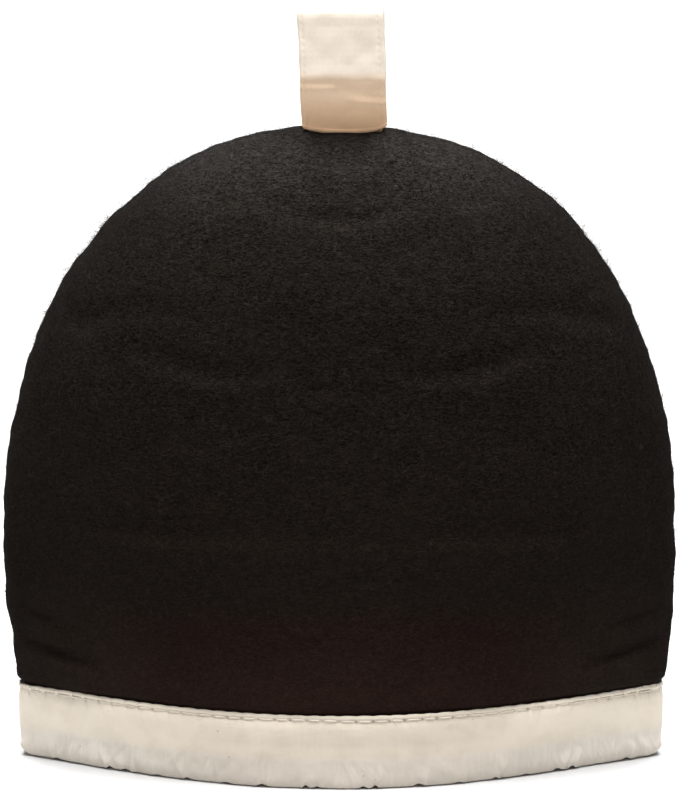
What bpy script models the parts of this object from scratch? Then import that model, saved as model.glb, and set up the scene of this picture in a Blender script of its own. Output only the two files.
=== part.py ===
"""Felt tea cosy with a bound, filled hem and a hanging loop.

Metres, +Z up. The cosy stands on its hem at z = 0. X runs along the wide side, and the side
seams and the crown seam lie in the plane y = 0. The front faces -Y.

Every piece is laid on one form, the outer skin of the opened cosy. A place on the form is a
way across, a height and an inset, which is the distance in from that skin.
"""

import math

import bmesh
import bpy
from mathutils import Vector

# Which way a face stands out along y
FRONT = -1
BACK = 1

# The form: its outline seen from the front
HALF_WIDTH = 0.1318
CROWN_HEIGHT = 0.2486
SHOULDER_HEIGHT = 0.0800
DOME_SQUARENESS = 2.24
HEM_TAPER = 0.0062
HEM_TAPER_HEIGHTS = (0.0200, 0.0700)

# The form: how far each face stands out from the seam plane
HEM_DEPTH = 0.0590
CROWN_DEPTH_LOSS = 0.0060
HEM_FULLNESS = 2.0
CROWN_FULLNESS = 4.0
FULLNESS_RISE = (0.1, 0.7)
HEM_POINTEDNESS = 1.20
CROWN_POINTEDNESS = 0.60
SEAM_ROLL = 0.0060
LEAST_ROLL = 0.0005

# Joins between pieces
GAP = 0.0003
MERGE_DISTANCE = GAP / 10
SEAM_GROOVE = 0.0012
SEAM_GROOVE_REACH = 0.0020

# Places where the seam's turned-in allowance pulls the outline in, or lets it out
SEAM_DIPS = (
    # across, height, depth
    (-0.0790, 0.2200, 0.0013),
    (-0.0960, 0.2030, 0.0009),
    (-0.1240, 0.1410, 0.0006),
    (-0.1300, 0.0920, 0.0007),
    (-0.1290, 0.0700, 0.0013),
    (-0.1270, 0.0510, 0.0014),
    (0.0300, 0.2450, 0.0010),
    (0.0850, 0.2170, -0.0008),
    (0.1280, 0.1660, 0.0006),
    (0.1240, 0.1360, -0.0003),
    (0.1300, 0.0920, 0.0010),
    (0.1290, 0.0690, 0.0011),
    (0.1260, 0.0360, -0.0005),
)
SEAM_DIP_REACH = 0.0085

# Felt panels
FELT_THICKNESS = 0.0038
FELT_EDGE_HEIGHT = 0.0215
FELT_TUCK = 0.0024
FELT_TUCK_REACH = 0.0032
FELT_SIDE_HEIGHTS = (FELT_EDGE_HEIGHT, 0.0291, 0.0306, 0.0326, 0.0366, 0.0441, 0.0555, 0.0680)
FELT_COLUMNS = 32
FELT_DOME_ROWS = 16

# Hem band
BAND_HEIGHT = 0.0291
BAND_LIP_ROUNDING = 0.0004
BAND_STATIONS = 32
# Its section, from the outer lip down, under the hem, up the inside and round the felt's slot
BAND_SECTION = (
    # inset, height
    (0.0007, BAND_HEIGHT),
    (0.0002, 0.0256),
    (0.0000, 0.0200),
    (0.0000, 0.0140),
    (0.0006, 0.0070),
    (0.0019, 0.0027),
    (0.0034, 0.0006),
    (0.0048, 0.0000),
    (0.0080, 0.0000),
    (0.0091, 0.0006),
    (0.0100, 0.0030),
    (0.0103, 0.0085),
    (0.0099, 0.0150),
    (0.0089, 0.0220),
    (0.0079, BAND_HEIGHT),
    (0.0070, BAND_HEIGHT),
    (0.0070, 0.0210),
    (0.0016, 0.0210),
    (0.0016, BAND_HEIGHT - BAND_LIP_ROUNDING),
)

# Hanging loop: a doubled strip, its two ends sewn into the crown seam
LOOP_WIDTH = 0.0328
LOOP_THICKNESS = 0.0015
LOOP_LEG = (GAP + LOOP_THICKNESS) / 2
LOOP_MIDDLE = 0.0018
LOOP_LEAN = -0.0012
# The middle of the strip's thickness, from its sewn end up to the top of the fold
LOOP_HALF_PATH = (
    # reach from the seam plane, height
    (LOOP_LEG, 0.2380),
    (LOOP_LEG, 0.2425),
    (LOOP_LEG, 0.2466),
    (0.0023, 0.2490),
    (0.0050, 0.2506),
    (0.0077, 0.2538),
    (0.0104, 0.2588),
    (0.0125, 0.2643),
    (0.0132, 0.2695),
    (0.0128, 0.2775),
    (0.0120, 0.2855),
    (0.0104, 0.2930),
    (0.0064, 0.2981),
    (0.0000, 0.2994),
)
LOOP_SPAN_STEPS = 2
LOOP_COLUMNS = 4

# The crown seam opens round the loop's two ends
LOOP_ROOM = 0.0021
LOOP_ROOM_HALF_WIDTH = (0.0190, 0.0230)
LOOP_ROOM_DEPTH = (0.0120, 0.0220)

# Soft folds: a ridge over a trough, along a line that bows up at its ends
FRONT_FOLDS = (
    # across, height, half span, bow, tilt, depth, softness
    (0.000, 0.2169, 0.040, 0.0140, 0.0000, 0.0012, 0.0070),
    (-0.075, 0.1818, 0.050, -0.0100, 0.0060, 0.0010, 0.0080),
    (0.075, 0.1818, 0.050, -0.0100, -0.0060, 0.0010, 0.0080),
    (-0.052, 0.1612, 0.040, 0.0073, -0.0054, 0.0018, 0.0080),
    (0.052, 0.1612, 0.040, 0.0073, 0.0054, 0.0018, 0.0080),
    (-0.068, 0.0978, 0.048, 0.0030, 0.0000, 0.0018, 0.0080),
    (0.068, 0.0978, 0.048, 0.0030, 0.0000, 0.0018, 0.0080),
    (-0.110, 0.0445, 0.024, 0.0000, -0.0060, 0.0015, 0.0055),
    (0.110, 0.0445, 0.024, 0.0000, 0.0060, 0.0015, 0.0055),
)
BACK_FOLDS = (
    # across, height, half span, bow, tilt, depth, softness
    (0.012, 0.1640, 0.078, 0.0120, 0.0030, 0.0022, 0.0095),
    (-0.060, 0.1080, 0.048, 0.0050, -0.0030, 0.0020, 0.0090),
    (0.078, 0.0940, 0.038, 0.0035, 0.0030, 0.0018, 0.0085),
    (-0.106, 0.0520, 0.022, 0.0010, -0.0050, 0.0013, 0.0055),
    (0.102, 0.0450, 0.024, 0.0010, 0.0060, 0.0014, 0.0055),
)
FOLD_TROUGH_SHARE = 0.6
FOLD_EDGE_POWER = 8

# Finishes
FELT_BLACK = (0.012, 0.011, 0.010)
FELT_ROUGHNESS = 0.95
CALICO_CREAM = (0.76, 0.69, 0.58)
CALICO_ROUGHNESS = 0.90
CREASE_ANGLE_DEG = 50


def smooth_step(low, high, value):
    """0 below low, 1 above high, and a smooth rise between them."""
    share = min(1.0, max(0.0, (value - low) / (high - low)))
    return share * share * (3 - 2 * share)


def half_width(height):
    """The form's half width at a height below the shoulder."""
    return HALF_WIDTH - HEM_TAPER * (1 - smooth_step(*HEM_TAPER_HEIGHTS, height))


def seam_share(across, height, inset):
    """0 on the form's middle line and 1 on the seam, for the form taken in by inset."""
    if height <= SHOULDER_HEIGHT:
        return abs(across) / (half_width(height) - inset)
    reach = abs(across) / (HALF_WIDTH - inset)
    rise = (height - SHOULDER_HEIGHT) / (CROWN_HEIGHT - SHOULDER_HEIGHT - inset)
    return (reach**DOME_SQUARENESS + rise**DOME_SQUARENESS) ** (1 / DOME_SQUARENESS)


def form_depth(across, height, inset):
    """How far the form, taken in by inset, stands out from the seam plane."""
    share = min(1.0, seam_share(across, height, inset))
    rise = height / CROWN_HEIGHT
    depth = HEM_DEPTH - CROWN_DEPTH_LOSS * rise
    pointedness = HEM_POINTEDNESS + (CROWN_POINTEDNESS - HEM_POINTEDNESS) * smooth_step(0, 1, rise)
    filled = smooth_step(*FULLNESS_RISE, rise)
    fullness = HEM_FULLNESS + (CROWN_FULLNESS - HEM_FULLNESS) * filled
    roll = max(SEAM_ROLL - inset, LEAST_ROLL)
    from_edge = min(1.0, (1 - share) * HALF_WIDTH / roll)
    rolled = roll * math.sqrt(1 - (1 - from_edge) ** 2)
    return rolled + (depth - inset - roll) * (1 - share**fullness) ** pointedness


def fold_relief(across, height, folds):
    """How far the folds push the cloth out at this place."""
    relief = 0.0
    for middle, line, half_span, bow, tilt, depth, softness in folds:
        along = (across - middle) / half_span
        if abs(along) >= 1:
            continue
        above = height - (line + bow * along * along + tilt * along)
        ridge = math.exp(-(((above + softness) / softness) ** 2))
        trough = math.exp(-((above / (FOLD_TROUGH_SHARE * softness)) ** 2))
        relief += depth * (ridge - trough) * (1 - along * along) ** 2
    fade = 1 - min(1.0, seam_share(across, height, 0)) ** FOLD_EDGE_POWER
    return relief * fade


def loop_room(across, height):
    """How far the crown seam opens to let the loop's ends in."""
    beside = 1 - smooth_step(*LOOP_ROOM_HALF_WIDTH, abs(across))
    below = 1 - smooth_step(*LOOP_ROOM_DEPTH, CROWN_HEIGHT - height)
    return LOOP_ROOM * beside * below


def felt_inset(height):
    """The felt is drawn in where the hem band is stitched over it."""
    return FELT_TUCK * math.exp(-((max(0.0, height - BAND_HEIGHT) / FELT_TUCK_REACH) ** 2))


def seam_pull(across, height, depth):
    """How far the seam draws this place of the felt in towards the middle of the panel."""
    pull = 0.0
    for dip_across, dip_height, dip_depth in SEAM_DIPS:
        away = math.hypot(across - dip_across, height - dip_height, depth)
        pull += dip_depth * math.exp(-((away / SEAM_DIP_REACH) ** 2))
    return pull


def felt_place(column, row, inset):
    """(across, height) of a panel's grid point: column from -1 to 1, row counted from the hem.

    The rows go straight up the sides, and the dome's rows are those of a square grid drawn
    round into a half disc, so that its top corners lie on the seam.
    """
    across_share = math.sin(column * math.pi / 2)
    if row < len(FELT_SIDE_HEIGHTS):
        height = FELT_SIDE_HEIGHTS[row]
        width = half_width(height) - felt_inset(height) - inset
        return across_share * width, height
    rise_share = math.sin((row - len(FELT_SIDE_HEIGHTS)) / FELT_DOME_ROWS * math.pi / 2)
    disc_across = across_share * math.sqrt(1 - rise_share**2 / 2)
    disc_rise = rise_share * math.sqrt(1 - across_share**2 / 2)
    radius = math.hypot(disc_across, disc_rise)
    if radius > 0:
        squared = (abs(disc_across) / radius) ** DOME_SQUARENESS
        squared += (disc_rise / radius) ** DOME_SQUARENESS
        radius = squared ** (-1 / DOME_SQUARENESS)
    across = disc_across * radius * (HALF_WIDTH - inset)
    height = SHOULDER_HEIGHT + disc_rise * radius * (CROWN_HEIGHT - SHOULDER_HEIGHT - inset)
    return across, height


def felt_point(column, row, inset, side, folds):
    """A point of a felt panel's outer face, or of its inner face when inset is its thickness."""
    across, height = felt_place(column, row, inset)
    drawn_in = felt_inset(height) + inset if row < len(FELT_SIDE_HEIGHTS) else inset
    depth = form_depth(across, height, drawn_in)
    pull = seam_pull(across, height, depth)
    if inset == 0:
        pull += SEAM_GROOVE * math.exp(-((depth / SEAM_GROOVE_REACH) ** 2))
    depth += fold_relief(across, height, folds) + loop_room(across, height)
    across -= across * pull / HALF_WIDTH
    height -= max(0.0, height - SHOULDER_HEIGHT) * pull / HALF_WIDTH
    return Vector((across, side * (GAP / 2 + depth), height))


def band_point(station, corner, side):
    """A point of a hem band: station from -1 to 1 along the hem, corner of its section."""
    inset, height = BAND_SECTION[corner]
    across = math.sin(station * math.pi / 2) * (half_width(height) - inset)
    return Vector((across, side * (GAP / 2 + form_depth(across, height, inset)), height))


def loop_rows():
    """The loop's whole path, from the front end over the top to the back end."""
    front = [Vector((FRONT * reach, height)) for reach, height in LOOP_HALF_PATH]
    back = [Vector((BACK * reach, height)) for reach, height in reversed(LOOP_HALF_PATH[:-1])]
    return front + back


def smooth_point(rows, step):
    """A point on the smooth curve through rows, with LOOP_SPAN_STEPS steps between two rows."""
    span = min(step // LOOP_SPAN_STEPS, len(rows) - 2)
    share = step / LOOP_SPAN_STEPS - span
    start, end = rows[span], rows[span + 1]
    leave = (end - rows[max(0, span - 1)]) / 2
    arrive = (rows[min(len(rows) - 1, span + 2)] - start) / 2
    squared, cubed = share**2, share**3
    point = start * (2 * cubed - 3 * squared + 1) + end * (3 * squared - 2 * cubed)
    return point + leave * (cubed - 2 * squared + share) + arrive * (cubed - squared)


def loop_point(column, step, inset):
    """A point of the loop's outer face, or of its inner face when inset is its thickness."""
    rows = loop_rows()
    last = (len(rows) - 1) * LOOP_SPAN_STEPS
    middle = smooth_point(rows, step)
    along = smooth_point(rows, min(last, step + 1)) - smooth_point(rows, max(0, step - 1))
    outward = Vector((-along.y, along.x)).normalized()
    place = middle + outward * (LOOP_THICKNESS / 2 - inset)
    rise = (middle.y - CROWN_HEIGHT) / (LOOP_HALF_PATH[-1][1] - CROWN_HEIGHT)
    across = LOOP_MIDDLE + LOOP_LEAN * rise + column * LOOP_WIDTH / 2
    return Vector((across, place.x, place.y))


def grid(mesh, columns, rows, place):
    """Adds a grid to mesh, with each point moved to place(column from -1 to 1, row)."""
    made = bmesh.ops.create_grid(mesh, x_segments=columns, y_segments=rows, size=1)
    for vertex in made["verts"]:
        column, level, _ = vertex.co
        vertex.co = place(column, round((level + 1) / 2 * rows))


def finish(name, mesh, material, collection):
    """Makes a bmesh one object with its faces pointing out."""
    bmesh.ops.recalc_face_normals(mesh, faces=mesh.faces)
    data = bpy.data.meshes.new(name)
    mesh.to_mesh(data)
    mesh.free()
    data.shade_smooth()
    data.set_sharp_from_angle(angle=math.radians(CREASE_ANGLE_DEG))
    data.materials.append(material)
    piece = bpy.data.objects.new(name, data)
    collection.objects.link(piece)
    return piece


def wall(name, columns, rows, point, thickness, material, collection):
    """A closed wall: an outer grid and an inner one, bridged round their edges."""
    mesh = bmesh.new()
    for inset in (0, thickness):
        grid(mesh, columns, rows, lambda column, row, inset=inset: point(column, row, inset))
    bmesh.ops.bridge_loops(mesh, edges=[edge for edge in mesh.edges if edge.is_boundary])
    return finish(name, mesh, material, collection)


def make_felt_panel(name, side, folds, material, collection):
    """Half of the cosy's body, from inside the hem band up to the crown seam."""
    rows = len(FELT_SIDE_HEIGHTS) + FELT_DOME_ROWS

    def point(column, row, inset):
        return felt_point(column, row, inset, side, folds)

    return wall(name, FELT_COLUMNS, rows, point, FELT_THICKNESS, material, collection)


def make_hem_band(name, side, material, collection):
    """A filled calico binding: its section carried along the hem, and closed at both ends."""
    corners = len(BAND_SECTION)
    mesh = bmesh.new()

    def place(station, row):
        return band_point(station, row % corners, side)

    grid(mesh, BAND_STATIONS, corners, place)
    bmesh.ops.remove_doubles(mesh, verts=mesh.verts, dist=MERGE_DISTANCE)
    ends = [edge for edge in mesh.edges if edge.is_boundary]
    bmesh.ops.holes_fill(mesh, edges=ends)
    return finish(name, mesh, material, collection)


def make_loop(name, material, collection):
    """The doubled calico strip, folded over into a loop."""
    steps = (len(loop_rows()) - 1) * LOOP_SPAN_STEPS
    return wall(name, LOOP_COLUMNS, steps, loop_point, LOOP_THICKNESS, material, collection)


def make_material(name, colour, roughness):
    """A plain cloth material."""
    material = bpy.data.materials.new(name)
    material.use_nodes = True
    shader = material.node_tree.nodes["Principled BSDF"]
    shader.inputs["Base Color"].default_value = (*colour, 1)
    shader.inputs["Roughness"].default_value = roughness
    shader.inputs["Metallic"].default_value = 0
    return material


def main():
    for old in list(bpy.data.objects):
        bpy.data.objects.remove(old)
    collection = bpy.data.collections.new("tea_cosy")
    bpy.context.scene.collection.children.link(collection)
    felt = make_material("black_felt", FELT_BLACK, FELT_ROUGHNESS)
    calico = make_material("calico", CALICO_CREAM, CALICO_ROUGHNESS)
    make_felt_panel("front_panel", FRONT, FRONT_FOLDS, felt, collection)
    make_felt_panel("back_panel", BACK, BACK_FOLDS, felt, collection)
    make_hem_band("front_hem_band", FRONT, calico, collection)
    make_hem_band("back_hem_band", BACK, calico, collection)
    make_loop("hanging_loop", calico, collection)


main()
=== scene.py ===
# %% [markdown]
# # A felt tea cosy
# The real thing is two domed panels of thick black wool felt, sewn together round the dome and
# turned right side out. A calico binding wraps the lower edge, and a doubled calico strip makes
# the loop at the crown. This file dresses the fixed solids of that cosy with cloth, fuzz and
# stitches. Everything is in metres, +Z is up, and the front faces -Y.

# %% Load the frame
import math

import bmesh
import bpy
import numpy as np
from mathutils import Matrix


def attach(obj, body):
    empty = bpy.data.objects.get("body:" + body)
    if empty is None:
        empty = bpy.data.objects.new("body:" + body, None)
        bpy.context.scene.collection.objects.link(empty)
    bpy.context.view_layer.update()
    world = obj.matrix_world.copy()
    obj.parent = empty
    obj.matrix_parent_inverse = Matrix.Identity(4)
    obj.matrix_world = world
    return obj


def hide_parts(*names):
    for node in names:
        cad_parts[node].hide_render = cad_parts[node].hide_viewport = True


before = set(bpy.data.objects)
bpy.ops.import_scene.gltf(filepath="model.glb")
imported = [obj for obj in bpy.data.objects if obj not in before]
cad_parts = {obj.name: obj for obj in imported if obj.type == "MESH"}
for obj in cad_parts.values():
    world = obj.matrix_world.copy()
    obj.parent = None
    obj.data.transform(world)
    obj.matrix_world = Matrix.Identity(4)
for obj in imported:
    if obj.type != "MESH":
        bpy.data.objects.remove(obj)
scene = bpy.context.scene
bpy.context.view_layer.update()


# %% [markdown]
# ## The form
# A maker shapes the cosy on a form. It could be sculpted, or draped as simulated cloth, but here
# the form is a formula: it is the same each time, and the felt, the binding, the stitches and
# the fuzz can all ask it where they lie. Seen from the front it is a superellipse over straight,
# slightly tapered sides.

# %% The form's outline
FRONT, BACK = -1, 1
HALF_WIDTH = 0.1318
CROWN_HEIGHT = 0.2486
SHOULDER_HEIGHT = 0.0800
DOME_SQUARENESS = 2.24
HEM_TAPER = 0.0062
HEM_TAPER_HEIGHTS = (0.0200, 0.0700)


def smooth_step(low, high, value):
    """0 below low, 1 above high, and a smooth rise between them."""
    share = np.clip((value - low) / (high - low), 0, 1)
    return share * share * (3 - 2 * share)


def bump(value, width):
    """1 where value is 0, fading to nothing a few widths away."""
    return np.exp(-((value / width) ** 2))


def half_width(height):
    """The form's half width at a height below the shoulder."""
    return HALF_WIDTH - HEM_TAPER * (1 - smooth_step(*HEM_TAPER_HEIGHTS, height))


def seam_share(across, height, inset):
    """0 on the form's middle line and 1 on the seam, for the form taken in by inset."""
    low = np.abs(across) / (half_width(height) - inset)
    reach = np.abs(across) / (HALF_WIDTH - inset)
    rise = np.maximum(0, height - SHOULDER_HEIGHT) / (CROWN_HEIGHT - SHOULDER_HEIGHT - inset)
    high = (reach**DOME_SQUARENESS + rise**DOME_SQUARENESS) ** (1 / DOME_SQUARENESS)
    return np.where(height <= SHOULDER_HEIGHT, low, high)


print("The form is", round(2 * HALF_WIDTH, 4), "wide and", CROWN_HEIGHT, "tall")

# %% [markdown]
# ### How far the form stands out
# Each face stands out from the seam plane by a depth that falls to nothing at the seam, where the
# turned seam gives a small round roll. The hem runs to a point at the seams like a boat's bow,
# and the crown is fuller. An inset moves a point in from the skin, so one formula serves both
# faces of a thick cloth.

# %% The form's depth
HEM_DEPTH = 0.0590
CROWN_DEPTH_LOSS = 0.0060
HEM_FULLNESS = 2.0
CROWN_FULLNESS = 4.0
FULLNESS_RISE = (0.1, 0.7)
HEM_POINTEDNESS = 1.20
CROWN_POINTEDNESS = 0.60
SEAM_ROLL = 0.0060
LEAST_ROLL = 0.0005
SEAM_OVERLAP = 0.0003
HEM_SETTLING = 0.0012
SETTLED_HEIGHTS = (0.0300, 0.0600)


def form_depth(across, height, inset):
    """How far the form, taken in by inset, stands out from the seam plane."""
    share = np.minimum(1, seam_share(across, height, inset))
    rise = height / CROWN_HEIGHT
    depth = HEM_DEPTH - CROWN_DEPTH_LOSS * rise
    pointedness = HEM_POINTEDNESS + (CROWN_POINTEDNESS - HEM_POINTEDNESS) * smooth_step(0, 1, rise)
    filled = smooth_step(*FULLNESS_RISE, rise)
    fullness = HEM_FULLNESS + (CROWN_FULLNESS - HEM_FULLNESS) * filled
    roll = np.maximum(SEAM_ROLL - inset, LEAST_ROLL)
    from_edge = np.minimum(1, (1 - share) * HALF_WIDTH / roll)
    rolled = roll * np.sqrt(1 - (1 - from_edge) ** 2)
    return rolled + (depth - inset - roll) * (1 - share**fullness) ** pointedness


def on_side(across, depth, height, side):
    """Points on one side of the seam, the hem settled a little further out on the right."""
    near_hem = 1 - smooth_step(*SETTLED_HEIGHTS, height)
    across = across + HEM_SETTLING * near_hem * np.clip(across / HALF_WIDTH, 0, 1)
    return np.stack([across, side * (depth - SEAM_OVERLAP / 2), height], axis=-1)


print("Depth at the hem's middle:", round(float(form_depth(0.0, 0.0, 0.0)), 4))

# %% [markdown]
# ## Cloth from grids
# Cloth is flat before it is sewn, so each piece starts as a bmesh grid, and numpy then moves
# all its points onto the form at once. Sculpting the folds would be quicker to start and far
# slower to change. A thick cloth is two grids, one for each face, bridged round their edges
# into one closed wall. The finer grid is the face that shows.

# %% Grid and mesh helpers
OUTER, INNER = 0, 1


def into_mesh(mesh, data):
    """Turns a bmesh's faces out and puts it in a mesh."""
    bmesh.ops.recalc_face_normals(mesh, faces=mesh.faces)
    mesh.to_mesh(data)
    mesh.free()


def object_with(name, data):
    """A smooth object in the scene with a mesh of its own."""
    data.shade_smooth()
    piece = bpy.data.objects.new(name, data)
    scene.collection.objects.link(piece)
    return piece


def object_from(name, mesh):
    """Turns a bmesh into a smooth object with its faces pointing out."""
    data = bpy.data.meshes.new(name)
    into_mesh(mesh, data)
    return object_with(name, data)


def points_of(data):
    """A mesh's points, one row each."""
    points = np.empty(len(data.vertices) * 3)
    data.vertices.foreach_get("co", points)
    return points.reshape(-1, 3)


def move_points(piece, places):
    """Moves a piece's points to places, then turns its faces out again."""
    piece.data.vertices.foreach_set("co", np.asarray(places, np.float64).ravel())
    mesh = bmesh.new()
    mesh.from_mesh(piece.data)
    into_mesh(mesh, piece.data)
    piece.data.update()


def keep_with_points(piece, name, values):
    """Stores a number or a vector with each point, for the materials to read."""
    values = np.asarray(values, np.float32)
    kind, field = ("FLOAT", "value") if values.ndim == 1 else ("FLOAT_VECTOR", "vector")
    layer = piece.data.attributes.new(name, kind, "POINT")
    layer.data.foreach_set(field, values.ravel())


def triangles(piece):
    """How many triangles a piece has."""
    return sum(len(face.vertices) - 2 for face in piece.data.polygons)


def wall_grid(name, columns, rows, inner_share):
    """Two flat grids bridged round their edges, the outer one at z = 0 and the inner at -1."""
    mesh = bmesh.new()
    bmesh.ops.create_grid(mesh, x_segments=columns, y_segments=rows, size=1)
    bmesh.ops.create_grid(
        mesh,
        x_segments=columns // inner_share,
        y_segments=rows // inner_share,
        size=1,
        matrix=Matrix.Translation((0, 0, -INNER)),
    )
    bmesh.ops.bridge_loops(mesh, edges=[edge for edge in mesh.edges if edge.is_boundary])
    return object_from(name, mesh)


# %% [markdown]
# ### Soft unevenness
# Sewn cloth is never even, and a plain noise looks like stone. A few sine waves of random
# direction, length and start, added up, give the slow swelling of cloth. Each use has its own
# seed, so the cosy comes out the same each time.

# %% Waves


def waves(along, up, lengths, count, seed):
    """A soft random swelling of about -1 to 1: many waves of many directions added up."""
    dice = np.random.default_rng(seed)
    total = np.zeros(np.broadcast(along, up).shape)
    for _ in range(count):
        length = dice.uniform(*lengths)
        turn = dice.uniform(0, math.pi)
        shift = dice.uniform(0, 2 * math.pi)
        run = along * math.cos(turn) + up * math.sin(turn)
        total += np.sin(run * 2 * math.pi / length + shift)
    return total / math.sqrt(count * 2)


def swelling(sizes, along, up, count, first_seed, side):
    """Waves of several sizes added up, different on each side of the cosy."""
    total = np.zeros(np.broadcast(along, up).shape)
    for number, (shortest, longest, height) in enumerate(sizes):
        seed = first_seed + number + 10 * side
        total += height * waves(along, up, (shortest, longest), count, seed)
    return total


# %% [markdown]
# ## Folds in the felt
# Thick felt that has lain flat and been pulled open keeps a few soft folds. Each row of the table
# is one: where its line runs, how it bows and tilts, how deep its trough is and how high the ridge
# just below it. A noise would scatter them anywhere, so they are placed one by one, and they make
# the light break across the face.

# %% Folds
FRONT_FOLDS = (
    # across, height, half span, bow, tilt, trough, ridge, softness
    (0.001, 0.2169, 0.042, 0.0150, 0.0000, 0.0016, 0.0008, 0.0042),
    (-0.052, 0.2236, 0.019, 0.0040, -0.0010, 0.0010, 0.0005, 0.0050),
    (0.055, 0.2230, 0.018, 0.0040, 0.0010, 0.0009, 0.0005, 0.0050),
    (-0.084, 0.1815, 0.052, -0.0100, 0.0062, 0.0011, 0.0002, 0.0055),
    (0.083, 0.1818, 0.052, -0.0100, -0.0060, 0.0011, 0.0002, 0.0055),
    (-0.101, 0.1752, 0.020, -0.0010, 0.0030, 0.0014, 0.0003, 0.0045),
    (0.101, 0.1755, 0.020, -0.0010, -0.0030, 0.0014, 0.0003, 0.0045),
    (-0.052, 0.1612, 0.041, 0.0073, -0.0054, 0.0015, 0.0018, 0.0055),
    (0.052, 0.1615, 0.040, 0.0070, 0.0056, 0.0014, 0.0017, 0.0055),
    (0.001, 0.1542, 0.028, -0.0010, 0.0000, 0.0006, 0.0003, 0.0030),
    (-0.062, 0.1335, 0.034, -0.0200, 0.0020, 0.0006, 0.0003, 0.0040),
    (0.064, 0.1330, 0.033, -0.0200, -0.0020, 0.0005, 0.0003, 0.0040),
    (-0.038, 0.1400, 0.032, -0.0020, 0.0000, 0.0000, 0.0010, 0.0065),
    (0.040, 0.1400, 0.032, -0.0020, 0.0000, 0.0000, 0.0010, 0.0065),
    (-0.069, 0.0978, 0.050, 0.0030, -0.0006, 0.0016, 0.0013, 0.0050),
    (0.068, 0.0980, 0.050, 0.0028, 0.0006, 0.0016, 0.0013, 0.0050),
    (0.000, 0.0962, 0.060, 0.0000, 0.0000, 0.0004, 0.0007, 0.0040),
    (-0.111, 0.0448, 0.028, 0.0000, -0.0060, 0.0038, 0.0026, 0.0042),
    (0.111, 0.0450, 0.028, 0.0000, 0.0060, 0.0038, 0.0026, 0.0042),
    (-0.117, 0.0592, 0.019, 0.0000, -0.0042, 0.0022, 0.0014, 0.0030),
    (0.117, 0.0590, 0.019, 0.0000, 0.0040, 0.0022, 0.0014, 0.0030),
    (-0.062, 0.0548, 0.013, 0.0010, 0.0005, 0.0007, 0.0004, 0.0030),
    (0.063, 0.0546, 0.013, 0.0010, -0.0005, 0.0007, 0.0004, 0.0030),
)
BACK_FOLDS = (
    # across, height, half span, bow, tilt, trough, ridge, softness
    (0.012, 0.1600, 0.078, 0.0120, 0.0030, 0.0016, 0.0019, 0.0080),
    (-0.060, 0.1050, 0.048, 0.0050, -0.0030, 0.0016, 0.0014, 0.0070),
    (0.078, 0.0915, 0.038, 0.0035, 0.0030, 0.0014, 0.0012, 0.0070),
    (-0.106, 0.0510, 0.022, 0.0010, -0.0050, 0.0011, 0.0009, 0.0045),
    (0.102, 0.0440, 0.024, 0.0010, 0.0060, 0.0012, 0.0009, 0.0045),
)
FOLDS = {FRONT: FRONT_FOLDS, BACK: BACK_FOLDS}
TROUGH_WIDTH = 0.6
TROUGH_SLOPE = 1.6
RIDGE_SLOPE = 2.4
FOLD_EDGE_POWER = 14


def fold_relief(across, height, side):
    """How far a side's folds push the cloth out at each place."""
    relief = np.zeros_like(across)
    for middle, line, half_span, bow, tilt, trough, ridge, softness in FOLDS[side]:
        along = np.clip((across - middle) / half_span, -1, 1)
        above = height - (line + bow * along * along + tilt * along)
        over = above + softness
        rise = ridge * bump(over, np.where(over < 0, RIDGE_SLOPE, 1) * softness)
        dip = trough * bump(above, np.where(above > 0, TROUGH_SLOPE, 1) * TROUGH_WIDTH * softness)
        relief += (rise - dip) * (1 - along * along) ** 2
    return relief * (1 - np.minimum(1, seam_share(across, height, 0)) ** FOLD_EDGE_POWER)


print("Folds on the front:", len(FRONT_FOLDS), "and on the back:", len(BACK_FOLDS))

# %% [markdown]
# ## The felt panels
# Each panel runs from inside the hem band up to the crown seam. A grid cut off at the outline
# would leave a ragged edge, so the grid goes straight up the sides and then round the dome, as
# a square drawn into a half disc, and its edge lies on the seam. Its lines crowd towards the
# seam, where the cloth turns in.

# %% Felt grid
FELT_THICKNESS = 0.0038
FELT_EDGE_HEIGHT = 0.0215
BAND_HEIGHT = 0.0291
FELT_TUCK = 0.0019
FELT_TUCK_REACH = 0.0016
FELT_COLUMNS = 220
FELT_ROWS = 200
FELT_INNER_SHARE = 2
FELT_SIDE_SHARE = 0.30
SIDE_ROW_SHARES = (0.0, 0.10, 0.42, 1.0)
SIDE_ROW_HEIGHTS = (FELT_EDGE_HEIGHT, 0.0284, 0.0350, SHOULDER_HEIGHT)
EDGE_CROWDING = 0.65
TINY = 1e-12


def crowded(share):
    """Moves grid lines towards the edges, where the cloth turns in to its seam."""
    return (1 - EDGE_CROWDING) * share + EDGE_CROWDING * np.sin(share * math.pi / 2)


def felt_inset(height):
    """The felt is drawn in where the hem band is stitched over it."""
    return FELT_TUCK * bump(np.maximum(0, height - BAND_HEIGHT), FELT_TUCK_REACH)


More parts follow.
